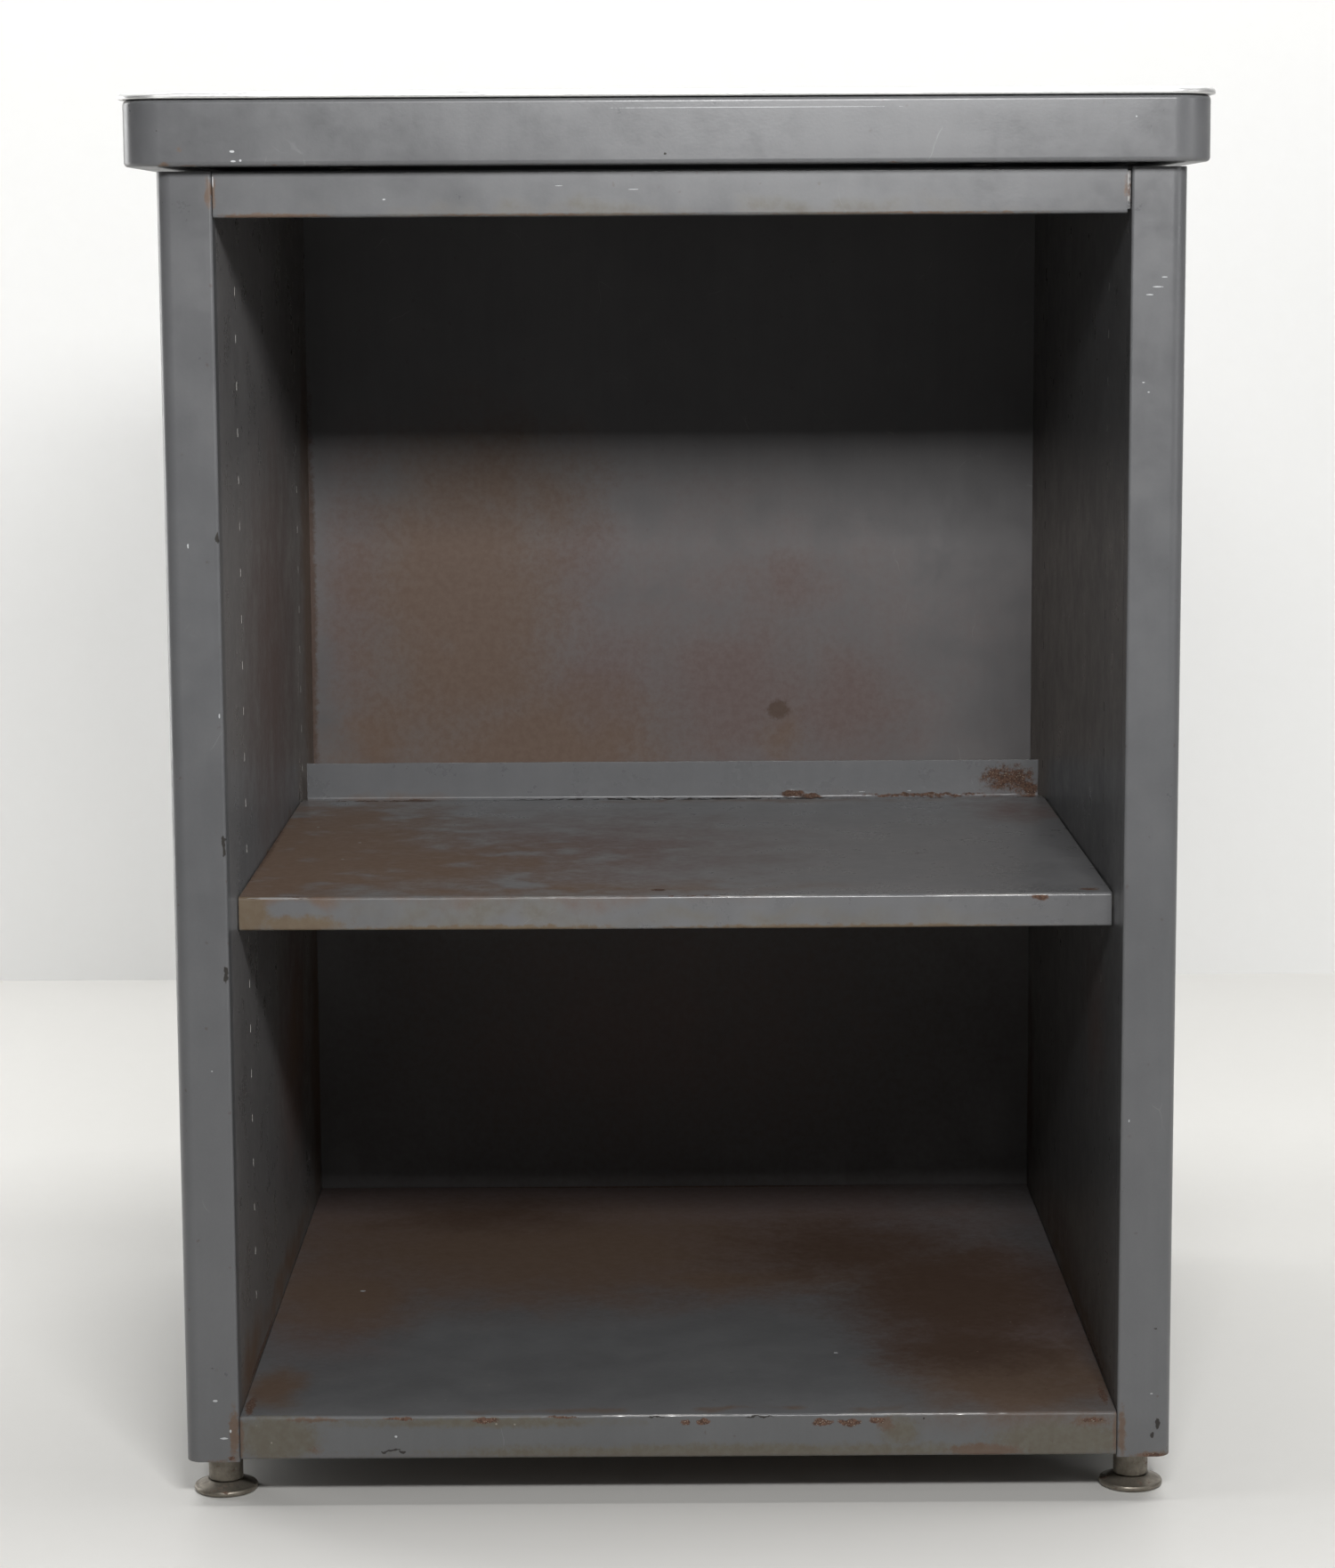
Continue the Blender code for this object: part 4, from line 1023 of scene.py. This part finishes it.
# --------------------------------------------------------------- side panels
def side_wave(p):
    """Slow waves and a few knocks on the flats; a slight ripple at the front."""
    flat = (rise(14, 60, p.y) * fall(DEPTH - 60, DEPTH - 14, p.y)
            * rise(SIDE_Z0, SIDE_Z0 + 40, p.z) * fall(SIDE_Z1 - 40, SIDE_Z1, p.z))
    push = flat * (0.55 * ripple(p.x, p.y, p.z, size=210, seed=1)
                   + 0.16 * ripple(p.x, p.y, p.z, size=60, seed=2))
    for y, z, radius, depth in SIDE_KNOCKS:
        away = math.hypot(p.y - y, p.z - z) / radius
        if away < 1 and abs(p.x) > HALF_WIDTH - 3:
            push += depth * fall(0.0, 1.0, away) * (1 if p.x > 0 else 0.7)
    return push + fall(1.0, 3.0, p.y) * 0.05 * ripple(p.x, 0, p.z, size=38, seed=3)


def side_panel(side, sign):
    """A side with its front stile turned into the opening and its rear turned in."""
    corners = [(OPEN_HALF, 15.0), (OPEN_HALF, 0.0), (HALF_WIDTH, 0.0), (HALF_WIDTH, DEPTH),
               (OPEN_HALF, DEPTH)]
    path = subdivide(fillet_path(corners, (0, 1.6, 8.0, 8.0, 0), steps=12), step=13.0)
    bm = sheet(path, SKIN, spread(SIDE_Z0, SIDE_Z1, step=12.0),
               lambda p, z: Vector((sign * p.x, p.y, z)), side_wave)
    piece("skin_" + side, bm, [SIDE, SIDE_EDGE], side + "_side_panel", bevel=0.3)


# ---------------------------------------------------------------- inner walls
def is_liner_hole(p0, p1, y0, y1):
    """The shelf slots, and the rear end of the turned-in foot."""
    if y0 > LINER_Y1 - LEDGE_CUT - 0.1 and min(p0.y, p1.y) < LEDGE_Z + 0.5:
        return True
    if abs(p0.x - OPEN_HALF) > 0.01 or abs(p1.x - OPEN_HALF) > 0.01:
        return False
    if not any(abs((y0 + y1) / 2 - y) < 0.1 for y in SLOT_Y):
        return False
    middle = (p0.y + p1.y) / 2
    in_slot = any(abs(middle - z) < SLOT_HEIGHT / 2 - 0.01 for z in SLOT_Z)
    return in_slot and abs(p1.y - p0.y) < SLOT_HEIGHT + 0.1


def liner_wave(p):
    flat = (rise(LINER_Y0, LINER_Y0 + 40, p.y) * fall(LINER_Y1 - 30, LINER_Y1, p.y)
            * rise(FLOOR_Z1, FLOOR_Z1 + 30, p.z))
    push = flat * 0.28 * ripple(p.x, p.y, p.z, size=170, seed=5)
    # the rims of the slots stand a little off the sheet
    if any(abs(p.y - y) < 1.3 for y in SLOT_Y):
        push -= 0.12
    return push


def liner(side, sign, materials):
    """An inner wall with two rows of shelf slots."""
    slot_edges_y = [y + d for y in SLOT_Y for d in (-SLOT_WIDTH / 2, SLOT_WIDTH / 2)]
    slot_edges_z = [z + d for z in SLOT_Z for d in (-SLOT_HEIGHT / 2, SLOT_HEIGHT / 2)]
    cut_y = LINER_Y1 - LEDGE_CUT
    clear_runs = [y for y in spread(LINER_Y0, cut_y, step=20.0)
                  if all(abs(y - edge) > 2 for edge in slot_edges_y)]
    runs = merge_runs(slot_edges_y, clear_runs, [LINER_Y0, cut_y, LINER_Y1])
    corners = [(OPEN_HALF - 14.0, LEDGE_Z), (OPEN_HALF, LEDGE_Z), (OPEN_HALF, SIDE_Z1)]
    path = add_breaks(fillet_path(corners, (0, 0.6, 0), steps=4), 1, slot_edges_z)
    bm = sheet(path, -LINER, runs, lambda p, y: Vector((sign * p.x, y, p.y)),
               liner_wave, is_liner_hole)
    piece("liner_" + side, bm, materials, side + "_inner_wall",
          bevel=0.16, steps=1, angle=50)


# --------------------------------------------------------------- back panels
def inner_back_wave(p, z0, z1):
    flat = fall(200, 238, abs(p.x)) * rise(z0, z0 + 40, p.z) * fall(z1 - 40, z1, p.z)
    return flat * (0.5 * ripple(p.x, p.y, p.z, size=190, seed=7)
                   + 0.12 * ripple(p.x, p.y, p.z, size=60, seed=8))


def outer_back_wave(p, z0, z1):
    """Only ever pushes forwards."""
    flat = fall(170, 226, abs(p.x)) * rise(z0, z0 + 50, p.z) * fall(z1 - 50, z1, p.z)
    push = -flat * (0.5 + 0.7 * ripple(p.x, p.y, p.z, size=230, seed=9)
                    + 0.15 * ripple(p.x, p.y, p.z, size=70, seed=10))
    return min(push, 0.0)


def back_panel(place, step, wave, paint):
    """A flat panel; place is inner or outer."""
    node = place + "_back_panel"
    x0, x1, y0, y1, z0, z1 = cad_box(node)
    path = subdivide([(Vector((x, y0)), Vector((0, 1))) for x in (x0, x1)], step)
    bm = sheet(path, y1 - y0, spread(z0, z1, step), along_z, lambda p: wave(p, z0, z1))
    piece("back_" + place, bm, [paint, SIDE_EDGE], node, bevel=0.2, steps=1)


# ---------------------------------------------------------------- front rail
def is_rail_hole(p0, p1, x0, x1):
    """The two openings in the rail's lower flange."""
    if abs(p0.y - RAIL_Z0) > 0.01 or abs(p1.y - RAIL_Z0) > 0.01:
        return False
    if not RAIL_HOLES_Y[0] < (p0.x + p1.x) / 2 < RAIL_HOLES_Y[1]:
        return False
    return any(a - 0.01 <= x0 and x1 <= b + 0.01 for a, b in RAIL_HOLES_X)


def rail_wave(p):
    low = fall(RAIL_Z0, RAIL_Z0 + 5, p.z)
    return (0.10 * ripple(p.x, 0, p.z, size=60, seed=11)
            + low * 0.16 * ripple(p.x, 0, 0, size=22, seed=12))


def front_rail():
    """A channel open to the rear."""
    corners = [(RAIL_Y1, RAIL_Z0), (RAIL_Y0, RAIL_Z0), (RAIL_Y0, RAIL_Z1), (RAIL_Y1, RAIL_Z1)]
    path = fillet_path(corners, (0, 1.6, 1.6, 0), steps=6)
    path = subdivide(add_breaks(path, 0, RAIL_HOLES_Y), step=7.0)
    hole_edges = [x for hole in RAIL_HOLES_X for x in hole]
    clear_runs = [x for x in spread(RAIL_X0, RAIL_X1, step=9.0)
                  if all(abs(x - edge) > 2.5 for edge in hole_edges)]
    runs = merge_runs(clear_runs, [RAIL_X0, RAIL_X1], hole_edges)
    bm = sheet(path, -SKIN, runs, along_x, rail_wave, is_rail_hole)
    piece("rail_front", bm, [RAIL, RAIL_EDGE], "top_front_rail", bevel=0.28)


# -------------------------------------------------------------- bottom shelf
def floor_wave(p):
    """A sunken deck, a rippled front face and an uneven front fold."""
    flat = fall(200, 233, abs(p.x)) * rise(4, 40, p.y) * fall(FLOOR_Y1 - 40, FLOOR_Y1 - 4, p.y)
    deck = rise(FLOOR_Z1 - 1.0, FLOOR_Z1 - 0.1, p.z)
    push = deck * flat * (0.45 * ripple(p.x, p.y, 0, size=170, seed=13) - 0.35)
    push += fall(1.0, 3.0, p.y) * 0.09 * ripple(p.x, 0, p.z, size=45, seed=14)
    fold = fall(0.0, 5.0, p.y) * rise(FLOOR_Z1 - 5, FLOOR_Z1, p.z)
    return push + fold * 0.14 * ripple(p.x, 0, 0, size=17, seed=15)


def bottom_shelf():
    """The fixed deck, folded down at the front and the rear."""
    corners = [(11.0, FLOOR_Z0), (0.0, FLOOR_Z0), (0.0, FLOOR_Z1), (FLOOR_Y1, FLOOR_Z1),
               (FLOOR_Y1, 31.0)]
    path = subdivide(fillet_path(corners, (0, 1.8, 1.8, 1.8, 0), steps=7), step=11.0)
    bm = sheet(path, -SKIN, spread(FLOOR_X0, FLOOR_X1, step=9.0), along_x, floor_wave)
    piece("floor_shelf", bm, [BOTTOM, SIDE_EDGE], "bottom_shelf", bevel=0.28)


# ------------------------------------------------------------ adjustable shelf
def shelf_place(p, across):
    """Path point to space; across runs from -1 at the left to 1 at the right."""
    narrowing = clamp((p.x - LIP_Y) / 4.0)
    half = SHELF_HALF + (LIP_HALF - SHELF_HALF) * narrowing
    q = Vector((across * half, p.x, p.y))
    up = rise(SHELF_DECK + 2, SHELF_DECK + LIP_HEIGHT, q.z)
    if up > 0:                    # the turned-up edge leans and ripples
        q.y -= up * (0.35 + 0.45 * ripple(q.x, 0, 0, size=80, seed=16)
                     + 0.5 * rise(190, 232, q.x))
        q.z += up * 0.22 * ripple(q.x, 0, 0, size=55, seed=17)
    q.z -= 0.35 * (1 - (q.x / SHELF_HALF) ** 2) * (1 - up)      # the deck sags
    return q


def shelf_wave(p):
    over = p.z - SHELF_DECK
    push = 0.0
    if p.z > SHELF_DECK - 1.2 and p.y > SHELF_Y0 + 3:
        deck = fall(SHELF_DECK + 0.3, SHELF_DECK + 1.5, p.z)
        push += deck * 0.16 * ripple(p.x, p.y, 0, size=120, seed=18)
    if p.y < SHELF_Y0 + 3:
        push += (0.09 * ripple(p.x, 0, p.z, size=30, seed=19)
                 + 0.10 * ripple(p.x, 0, 0, size=14, seed=20)
                 * rise(SHELF_DECK - 3, SHELF_DECK, p.z))
    # scale that has grown at the root of the turned-up edge
    if p.y > LIP_Y and p.z < SHELF_DECK + 7:
        for x, height, radius_x, radius_z, thickness in SHELF_SCALE:
            away = math.hypot((p.x - x) / radius_x, (over - height) / radius_z)
            if away < 1:
                push += (thickness * fall(0.2, 1.0, away)
                         * (0.7 + 0.6 * ripple(p.x, p.y, p.z, size=2.2, seed=21)))
        if 100 < p.x < 232:
            push += (0.28 * max(0.0, ripple(p.x, 0, p.z, size=3.0, seed=22))
                     * fall(SHELF_DECK + 2, SHELF_DECK + 7, p.z))
    # and over its right end
    if p.y > LIP_Y and p.x > 165:
        push += 0.16 * max(0.0, ripple(p.x, 0, p.z, size=3.4, seed=23)) * rise(165, 205, p.x)
    return push


def loose_shelf():
    """The adjustable shelf; its mesh is finer where the scale sits."""
    corners = [(SHELF_Y0 + 10.0, SHELF_Z0), (SHELF_Y0, SHELF_Z0), (SHELF_Y0, SHELF_DECK),
               (SHELF_Y1, SHELF_DECK), (SHELF_Y1, SHELF_Z1)]
    path = fillet_path(corners, (0, 1.7, 1.7, 2.0, 0), steps=7)
    path = add_breaks(path, 0, (LIP_Y,))
    heights = (3.5, 5.0, 6.5, 8.0, 10.0, 12.0, 14.5, 17.0, 19.5, 21.8)
    path = add_breaks(path, 1, [SHELF_DECK + height for height in heights])
    path = subdivide(path, step=12.0)
    runs = merge_runs(spread(-1, 0.26, step=0.036), spread(0.26, 0.42, step=0.0066),
                      spread(0.42, 0.66, step=0.036), spread(0.66, 1.0, step=0.008), gap=1e-4)
    bm = sheet(path, -SKIN, runs, shelf_place, shelf_wave)
    piece("shelf_loose", bm, [SHELF, SHELF_EDGE], "adjustable_shelf",
          body="shelf", bevel=0.26)


# ------------------------------------------------------------------------- top
def apron_shape(p, outward):
    return p + outward * (0.09 * ripple(p.x, p.y, p.z, size=55, seed=24)
                          + 0.10 * ripple(p.x, p.y, 0, size=150, seed=25))


def top_shell():
    """A hollow pan with a plain deck and its lower edge turned in."""
    low, high = TOP_Z0 + TOP_BEND, TOP_Z1 - TOP_BEND
    inner_bend = TOP_BEND - SKIN
    # (inset, z): down the inside, round the return, then up the outside
    profile = [(TOP_BEND - x, z) for x, z in
               arc(high, inner_bend, 90, 0, steps=3) + arc(low, inner_bend, 0, -90, steps=3)]
    profile += [(TOP_RETURN, TOP_Z0 + SKIN), (TOP_RETURN, TOP_Z0)]
    profile += [(TOP_BEND - x, z) for x, z in arc(low, TOP_BEND, -90, 0, steps=6)]
    profile += [(0.0, TOP_Z0 + TOP_BEND + (TOP_Z1 - TOP_Z0 - 2 * TOP_BEND) * k / 4)
                for k in (1, 2, 3)]
    profile += [(TOP_BEND - x, z) for x, z in arc(high, TOP_BEND, 0, 90, steps=6)]
    rings = []
    for inset, z in profile:
        ring = top_ring(inset, z)
        rings.append(shape_ring(ring, apron_shape) if inset < TOP_BEND - 0.5 else ring)
    piece("top_shell", loft(rings), [APRON], "top_pan", bevel=0.3, angle=60)


def trim_shape(p, outward):
    """Ripple, knocks, and a droop at the front left corner."""
    q = p.copy()
    q += outward * (0.05 * ripple(p.x, p.y, p.z, size=30, seed=26))
    for x, y, radius, depth in TRIM_KNOCKS:
        away = math.hypot(p.x - x, p.y - y) / radius
        if away < 1.6 and p.z > TRIM_Z0 + 0.5:
            near = fall(0.0, 1.6, away)
            q -= outward * depth * near
            q.z -= depth * 0.5 * near
    droop = fall(0.0, 26.0, math.hypot(p.x - TRIM_X0, p.y - TRIM_Y0))
    q.z = TRIM_Z0 + (q.z - TRIM_Z0) * (1 - 0.55 * droop)
    return q


def bright_edging():
    """A drawn strip with a rounded nose."""
    height = TRIM_Z1 - TRIM_Z0
    lower, upper = 1.0, 2.6                # insets spanned by the nose's two curves
    shoulder = 0.42                        # share of the height below the upper curve
    nose = [(TRIM_WIDTH, TRIM_Z0), (-TRIM_PROUD + lower, TRIM_Z0)]
    for angle in (22, 45, 68, 90):
        a = math.radians(angle)
        nose.append((-TRIM_PROUD + lower - lower * math.sin(a),
                     TRIM_Z0 + lower - lower * math.cos(a)))
    nose.append((-TRIM_PROUD, TRIM_Z0 + height * shoulder))
    for angle in (15, 30, 45, 60, 75, 90):
        a = math.radians(angle)
        nose.append((-TRIM_PROUD + upper - upper * math.cos(a),
                     TRIM_Z0 + height * shoulder + height * (1 - shoulder) * math.sin(a)))
    nose += [(TRIM_WIDTH - 0.5, TRIM_Z1), (TRIM_WIDTH, TRIM_Z1 - 0.5)]
    rings = [shape_ring(top_ring(inset, z, corner_steps=18, step=5.0), trim_shape)
             for inset, z in nose]
    piece("edging", loft(rings, closed=True), [TRIM], "top_edge_trim")


def linoleum_top():
    z0, z1 = cad_box("linoleum_sheet")[4:]
    edge = TRIM_WIDTH + 0.3
    profile = [(edge, z0), (edge, z1 - 0.5), (edge + 0.15, z1 - 0.18), (edge + 0.5, z1)]
    bm = loft([top_ring(inset, z) for inset, z in profile])
    piece("linoleum_top", bm, [LINOLEUM], "linoleum_sheet")


# ---------------------------------------------------------------- turned parts
def top_screw(corner):
    """A domed, slotted head below a threaded shank."""
    node = "top_screw_" + corner
    x0, x1, y0, y1, z0, z1 = cad_box(node)
    x, y = (x0 + x1) / 2, (y0 + y1) / 2
    head_radius, head_height, shank_radius = 4.6, 2.6, 2.4
    head_top = z0 + head_height

    def threaded(angle, z, radius):
        if z > head_top + 1.5 and 1.7 < radius < 2.6:
            return radius - 0.16 * (1 - math.cos(2 * math.pi * z / 1.0 - angle))
        return radius

    profile = [(0.0, z0 + 0.9), (0.55, z0 + 0.9)]
    for angle in (14, 25, 40, 55, 70, 82, 90):
        a = math.radians(angle)
        profile.append((head_radius * math.sin(a), head_top - head_height * math.cos(a) * 0.98))
    profile += [(head_radius, head_top - 0.1), (4.5, head_top), (shank_radius, head_top)]
    profile += [(shank_radius, z) for z in spread(head_top + 0.2, z1 - 2.0, step=0.2)]
    profile += [(1.6, z1 - 0.3), (0.0, z1)]
    bm = revolve(profile, x, y, 32, threaded)
    # a driver's slot across the head
    for v in bm.verts:
        if v.co.z < head_top - 0.4 and abs(v.co.y - y) < 0.62:
            v.co.z = max(v.co.z, z0 + 1.15)
    piece("screw_top_" + corner, bm, [PLATED], node)


def glide_stem(corner):
    node = "glide_stem_" + corner
    x0, x1, y0, y1, _, z1 = cad_box(node)
    x, y = (x0 + x1) / 2, (y0 + y1) / 2
    stem_radius = (x1 - x0) / 2
    thread_z0, thread_z1 = 23.5, z1 - 1.2

    def threaded(angle, z, radius):
        if radius < stem_radius - 0.05 or z < thread_z0 or z > thread_z1:
            return radius
        fade = rise(thread_z0, 26.0, z) * fall(z1 - 3.0, thread_z1, z)
        turn = (z / THREAD_PITCH - angle / (2 * math.pi)) % 1.0
        groove = abs(turn - 0.5) * 2       # 0 at the crest, 1 at the root
        return radius - fade * 0.85 * clamp((groove - 0.12) / 0.76)

    profile = [(0.0, 14.0), (4.2, 14.0), (4.2, 7.2), (4.5, 6.6), (stem_radius - 0.5, 6.6),
               (stem_radius - 0.15, 6.75)]
    profile += [(stem_radius, z) for z in (7.2, 10, 14, 18, 22, 23.4)]
    profile += [(stem_radius, z) for z in spread(23.6, thread_z1, THREAD_PITCH / 10)[1:]]
    profile += [(stem_radius - 0.5, z1 - 0.5), (stem_radius - 1.2, z1), (3.2, z1), (0.0, z1)]
    bm = revolve(profile, x, y, 56, threaded)
    # a driver's slot in the stem's upper end
    for v in bm.verts:
        if v.co.z > z1 - 0.3 and abs(v.co.y - y) < 1.0:
            v.co.z -= 1.6
    piece("screw_glide_" + corner, bm, [GLIDE], node, body="stem_" + corner)


def glide_foot(corner):
    """A shallow cup with a neck."""
    node = "glide_foot_" + corner
    x0, x1, y0, y1, _, z1 = cad_box(node)
    rim = (x1 - x0) / 2

    def uneven(angle, z, radius):
        if radius <= 9:
            return radius
        return radius * (1 + 0.004 * ripple(math.cos(angle), math.sin(angle), z,
                                            size=0.8, seed=31))

    points = [(0.0, 0.35), (12.6, 0.35), (13.6, 0.0), (15.6, 0.0), (rim - 0.55, 0.35),
              (rim, 1.3), (rim, 2.2), (rim - 0.5, 3.05), (rim - 2.1, 3.55), (13.0, 4.65),
              (10.6, 5.85), (9.9, 6.2), (4.4, 6.25), (3.8, 6.5), (3.8, z1 - 0.5), (3.3, z1),
              (0.0, z1)]
    profile = [tuple(p) for p, _ in fillet_path(points, [0.35] * len(points), steps=3)]
    bm = revolve(profile, (x0 + x1) / 2, (y0 + y1) / 2, 72, uneven)
    piece("foot_pad_" + corner, bm, [GLIDE], node, body="foot_" + corner)


# --------------------------------------- CAD parts that keep their own meshes
def kept_finish(name):
    """Material and bevel of a CAD part."""
    if name.startswith("shelf_clip"):
        return PLATED, 0.22
    if name.endswith("rail_angle"):
        return RAIL_EDGE, 0.2
    if name.startswith("glide_nut"):
        return PLATED, 0.35
    if name.startswith("top_spacer"):
        return DARK_STEEL, 0.3
    return RAW_STEEL, 0.3


def dress_kept_parts():
    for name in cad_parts:
        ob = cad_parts[name]
        if ob.hide_render:
            continue
        material, bevel = kept_finish(name)
        for slot in ob.material_slots:
            slot.material = material
        weld = ob.modifiers.new("weld", "WELD")
        weld.merge_threshold = 0.00002
        soften(ob, bevel, angle=40)


# ------------------------------------------------------- studio, in world metres
WALL_Y = 1.21


def studio_sheet(name, bm, material, z=0.0):
    mesh = bpy.data.meshes.new(name)
    bm.to_mesh(mesh)
    bm.free()
    mesh.materials.append(material)
    ob = bpy.data.objects.new(name, mesh)
    bpy.context.scene.collection.objects.link(ob)
    ob.location = (0, 0, z)


def studio_floor():
    bm = bmesh.new()
    bmesh.ops.create_grid(bm, x_segments=2, y_segments=2, size=9.0)
    material = one_sided("pale_floor", color=(0.70, 0.69, 0.665), rough=0.55)
    studio_sheet("studio_floor", bm, material, z=-0.0002)


def studio_wall():
    bm = bmesh.new()
    corners = ((-6.0, -0.02), (6.0, -0.02), (6.0, 5.0), (-6.0, 5.0))
    bm.faces.new([bm.verts.new((x, WALL_Y, z)) for x, z in corners])
    studio_sheet("studio_wall", bm, one_sided("pale_wall", color=(0.82, 0.82, 0.812), rough=0.6))


def area(name, at, aim, width, height, watts):
    """A soft box at one point, turned to face another."""
    light = bpy.data.lights.new(name, "AREA")
    light.shape = "RECTANGLE"
    light.size, light.size_y = width, height
    light.energy = watts
    ob = bpy.data.objects.new(name, light)
    ob.location = at
    ob.rotation_mode = "QUATERNION"
    ob.rotation_quaternion = (Vector(aim) - Vector(at)).to_track_quat("-Z", "Y")
    ob.visible_camera = False
    bpy.context.scene.collection.objects.link(ob)


def lights():
    area("light_key", at=(0.160, -1.56, 1.140), aim=(0.11, 0.0, 1.46),
         width=0.46, height=0.215, watts=28.5)
    area("light_side_right", at=(1.9, -1.3, 0.95), aim=(0.0, -0.2, 0.45),
         width=0.5, height=1.0, watts=5.0)
    area("light_side_left", at=(-1.75, 0.85, 0.75), aim=(-0.1, -0.2, 0.45),
         width=0.7, height=1.5, watts=16.0)
    area("light_backdrop", at=(0.30, -0.15, 2.7), aim=(0.2, WALL_Y, 1.10),
         width=3.0, height=0.7, watts=62.0)
    area("light_rear", at=(0.2, 2.9, 1.6), aim=(0.0, 0.0, 0.4),
         width=1.6, height=1.0, watts=26.0)
    area("light_under", at=(0.0, -0.6, -1.9), aim=(0.0, 0.0, 0.2),
         width=2.0, height=2.0, watts=7.0)


def studio_world():
    """A pale backdrop to the eye and a weak white fill to everything else."""
    world = bpy.data.worlds.new("studio")
    bpy.context.scene.world = world
    world.use_nodes = True
    nodes, links = world.node_tree.nodes, world.node_tree.links
    nodes.clear()
    output = nodes.new("ShaderNodeOutputWorld")
    mix = nodes.new("ShaderNodeMixShader")
    path = nodes.new("ShaderNodeLightPath")
    seen = nodes.new("ShaderNodeBackground")
    fill = nodes.new("ShaderNodeBackground")
    seen.inputs["Color"].default_value = (0.80, 0.80, 0.79, 1.0)
    seen.inputs["Strength"].default_value = 1.0
    fill.inputs["Color"].default_value = (1.0, 1.0, 1.0, 1.0)
    fill.inputs["Strength"].default_value = 0.062
    links.new(path.outputs["Is Camera Ray"], mix.inputs[0])
    links.new(fill.outputs[0], mix.inputs[1])
    links.new(seen.outputs[0], mix.inputs[2])
    links.new(mix.outputs[0], output.inputs[0])


def camera():
    """Looks along +y, tipped down a little; angles in radians."""
    data = bpy.data.cameras.new("camera")
    data.sensor_width = 36.0
    data.lens = 84.79001135
    data.clip_start, data.clip_end = 0.05, 60.0
    ob = bpy.data.objects.new("camera", data)
    tip, yaw, roll = 0.1423, 0.0017, -0.0054
    forward = Vector((math.sin(yaw) * math.cos(tip), math.cos(yaw) * math.cos(tip),
                      -math.sin(tip)))
    right = Vector((math.cos(yaw), -math.sin(yaw), 0.0))
    up = right.cross(forward)
    rolled_right = right * math.cos(roll) + up * math.sin(roll)
    rolled_up = right * -math.sin(roll) + up * math.cos(roll)
    turn = Matrix((rolled_right, rolled_up, -forward)).transposed()
    ob.matrix_world = Matrix.Translation((-0.00476, -2.17932, 0.66760)) @ turn.to_4x4()
    bpy.context.scene.collection.objects.link(ob)
    bpy.context.scene.camera = ob


# ----------------------------------------------------------------------- build
side_panel("left", -1.0)
side_panel("right", 1.0)
liner("left", -1.0, [LEFT_WALL_PAINTED_LIGHT, LIT_SLOT_EDGE])
liner("right", 1.0, [RIGHT_WALL, SHADED_SLOT_EDGE])
back_panel("inner", 13.0, inner_back_wave, INNER_BACK)
back_panel("outer", 12.0, outer_back_wave, OUTER_BACK)
front_rail()
bottom_shelf()
loose_shelf()
top_shell()
bright_edging()
linoleum_top()
for corner in CORNERS:
    top_screw(corner)
for corner in CORNERS:
    glide_stem(corner)
    glide_foot(corner)
dress_kept_parts()

studio_floor()
studio_wall()
lights()
studio_world()
view = bpy.context.scene.view_settings
view.view_transform = "Standard"
view.look = "None"
view.exposure = 0.0
camera()
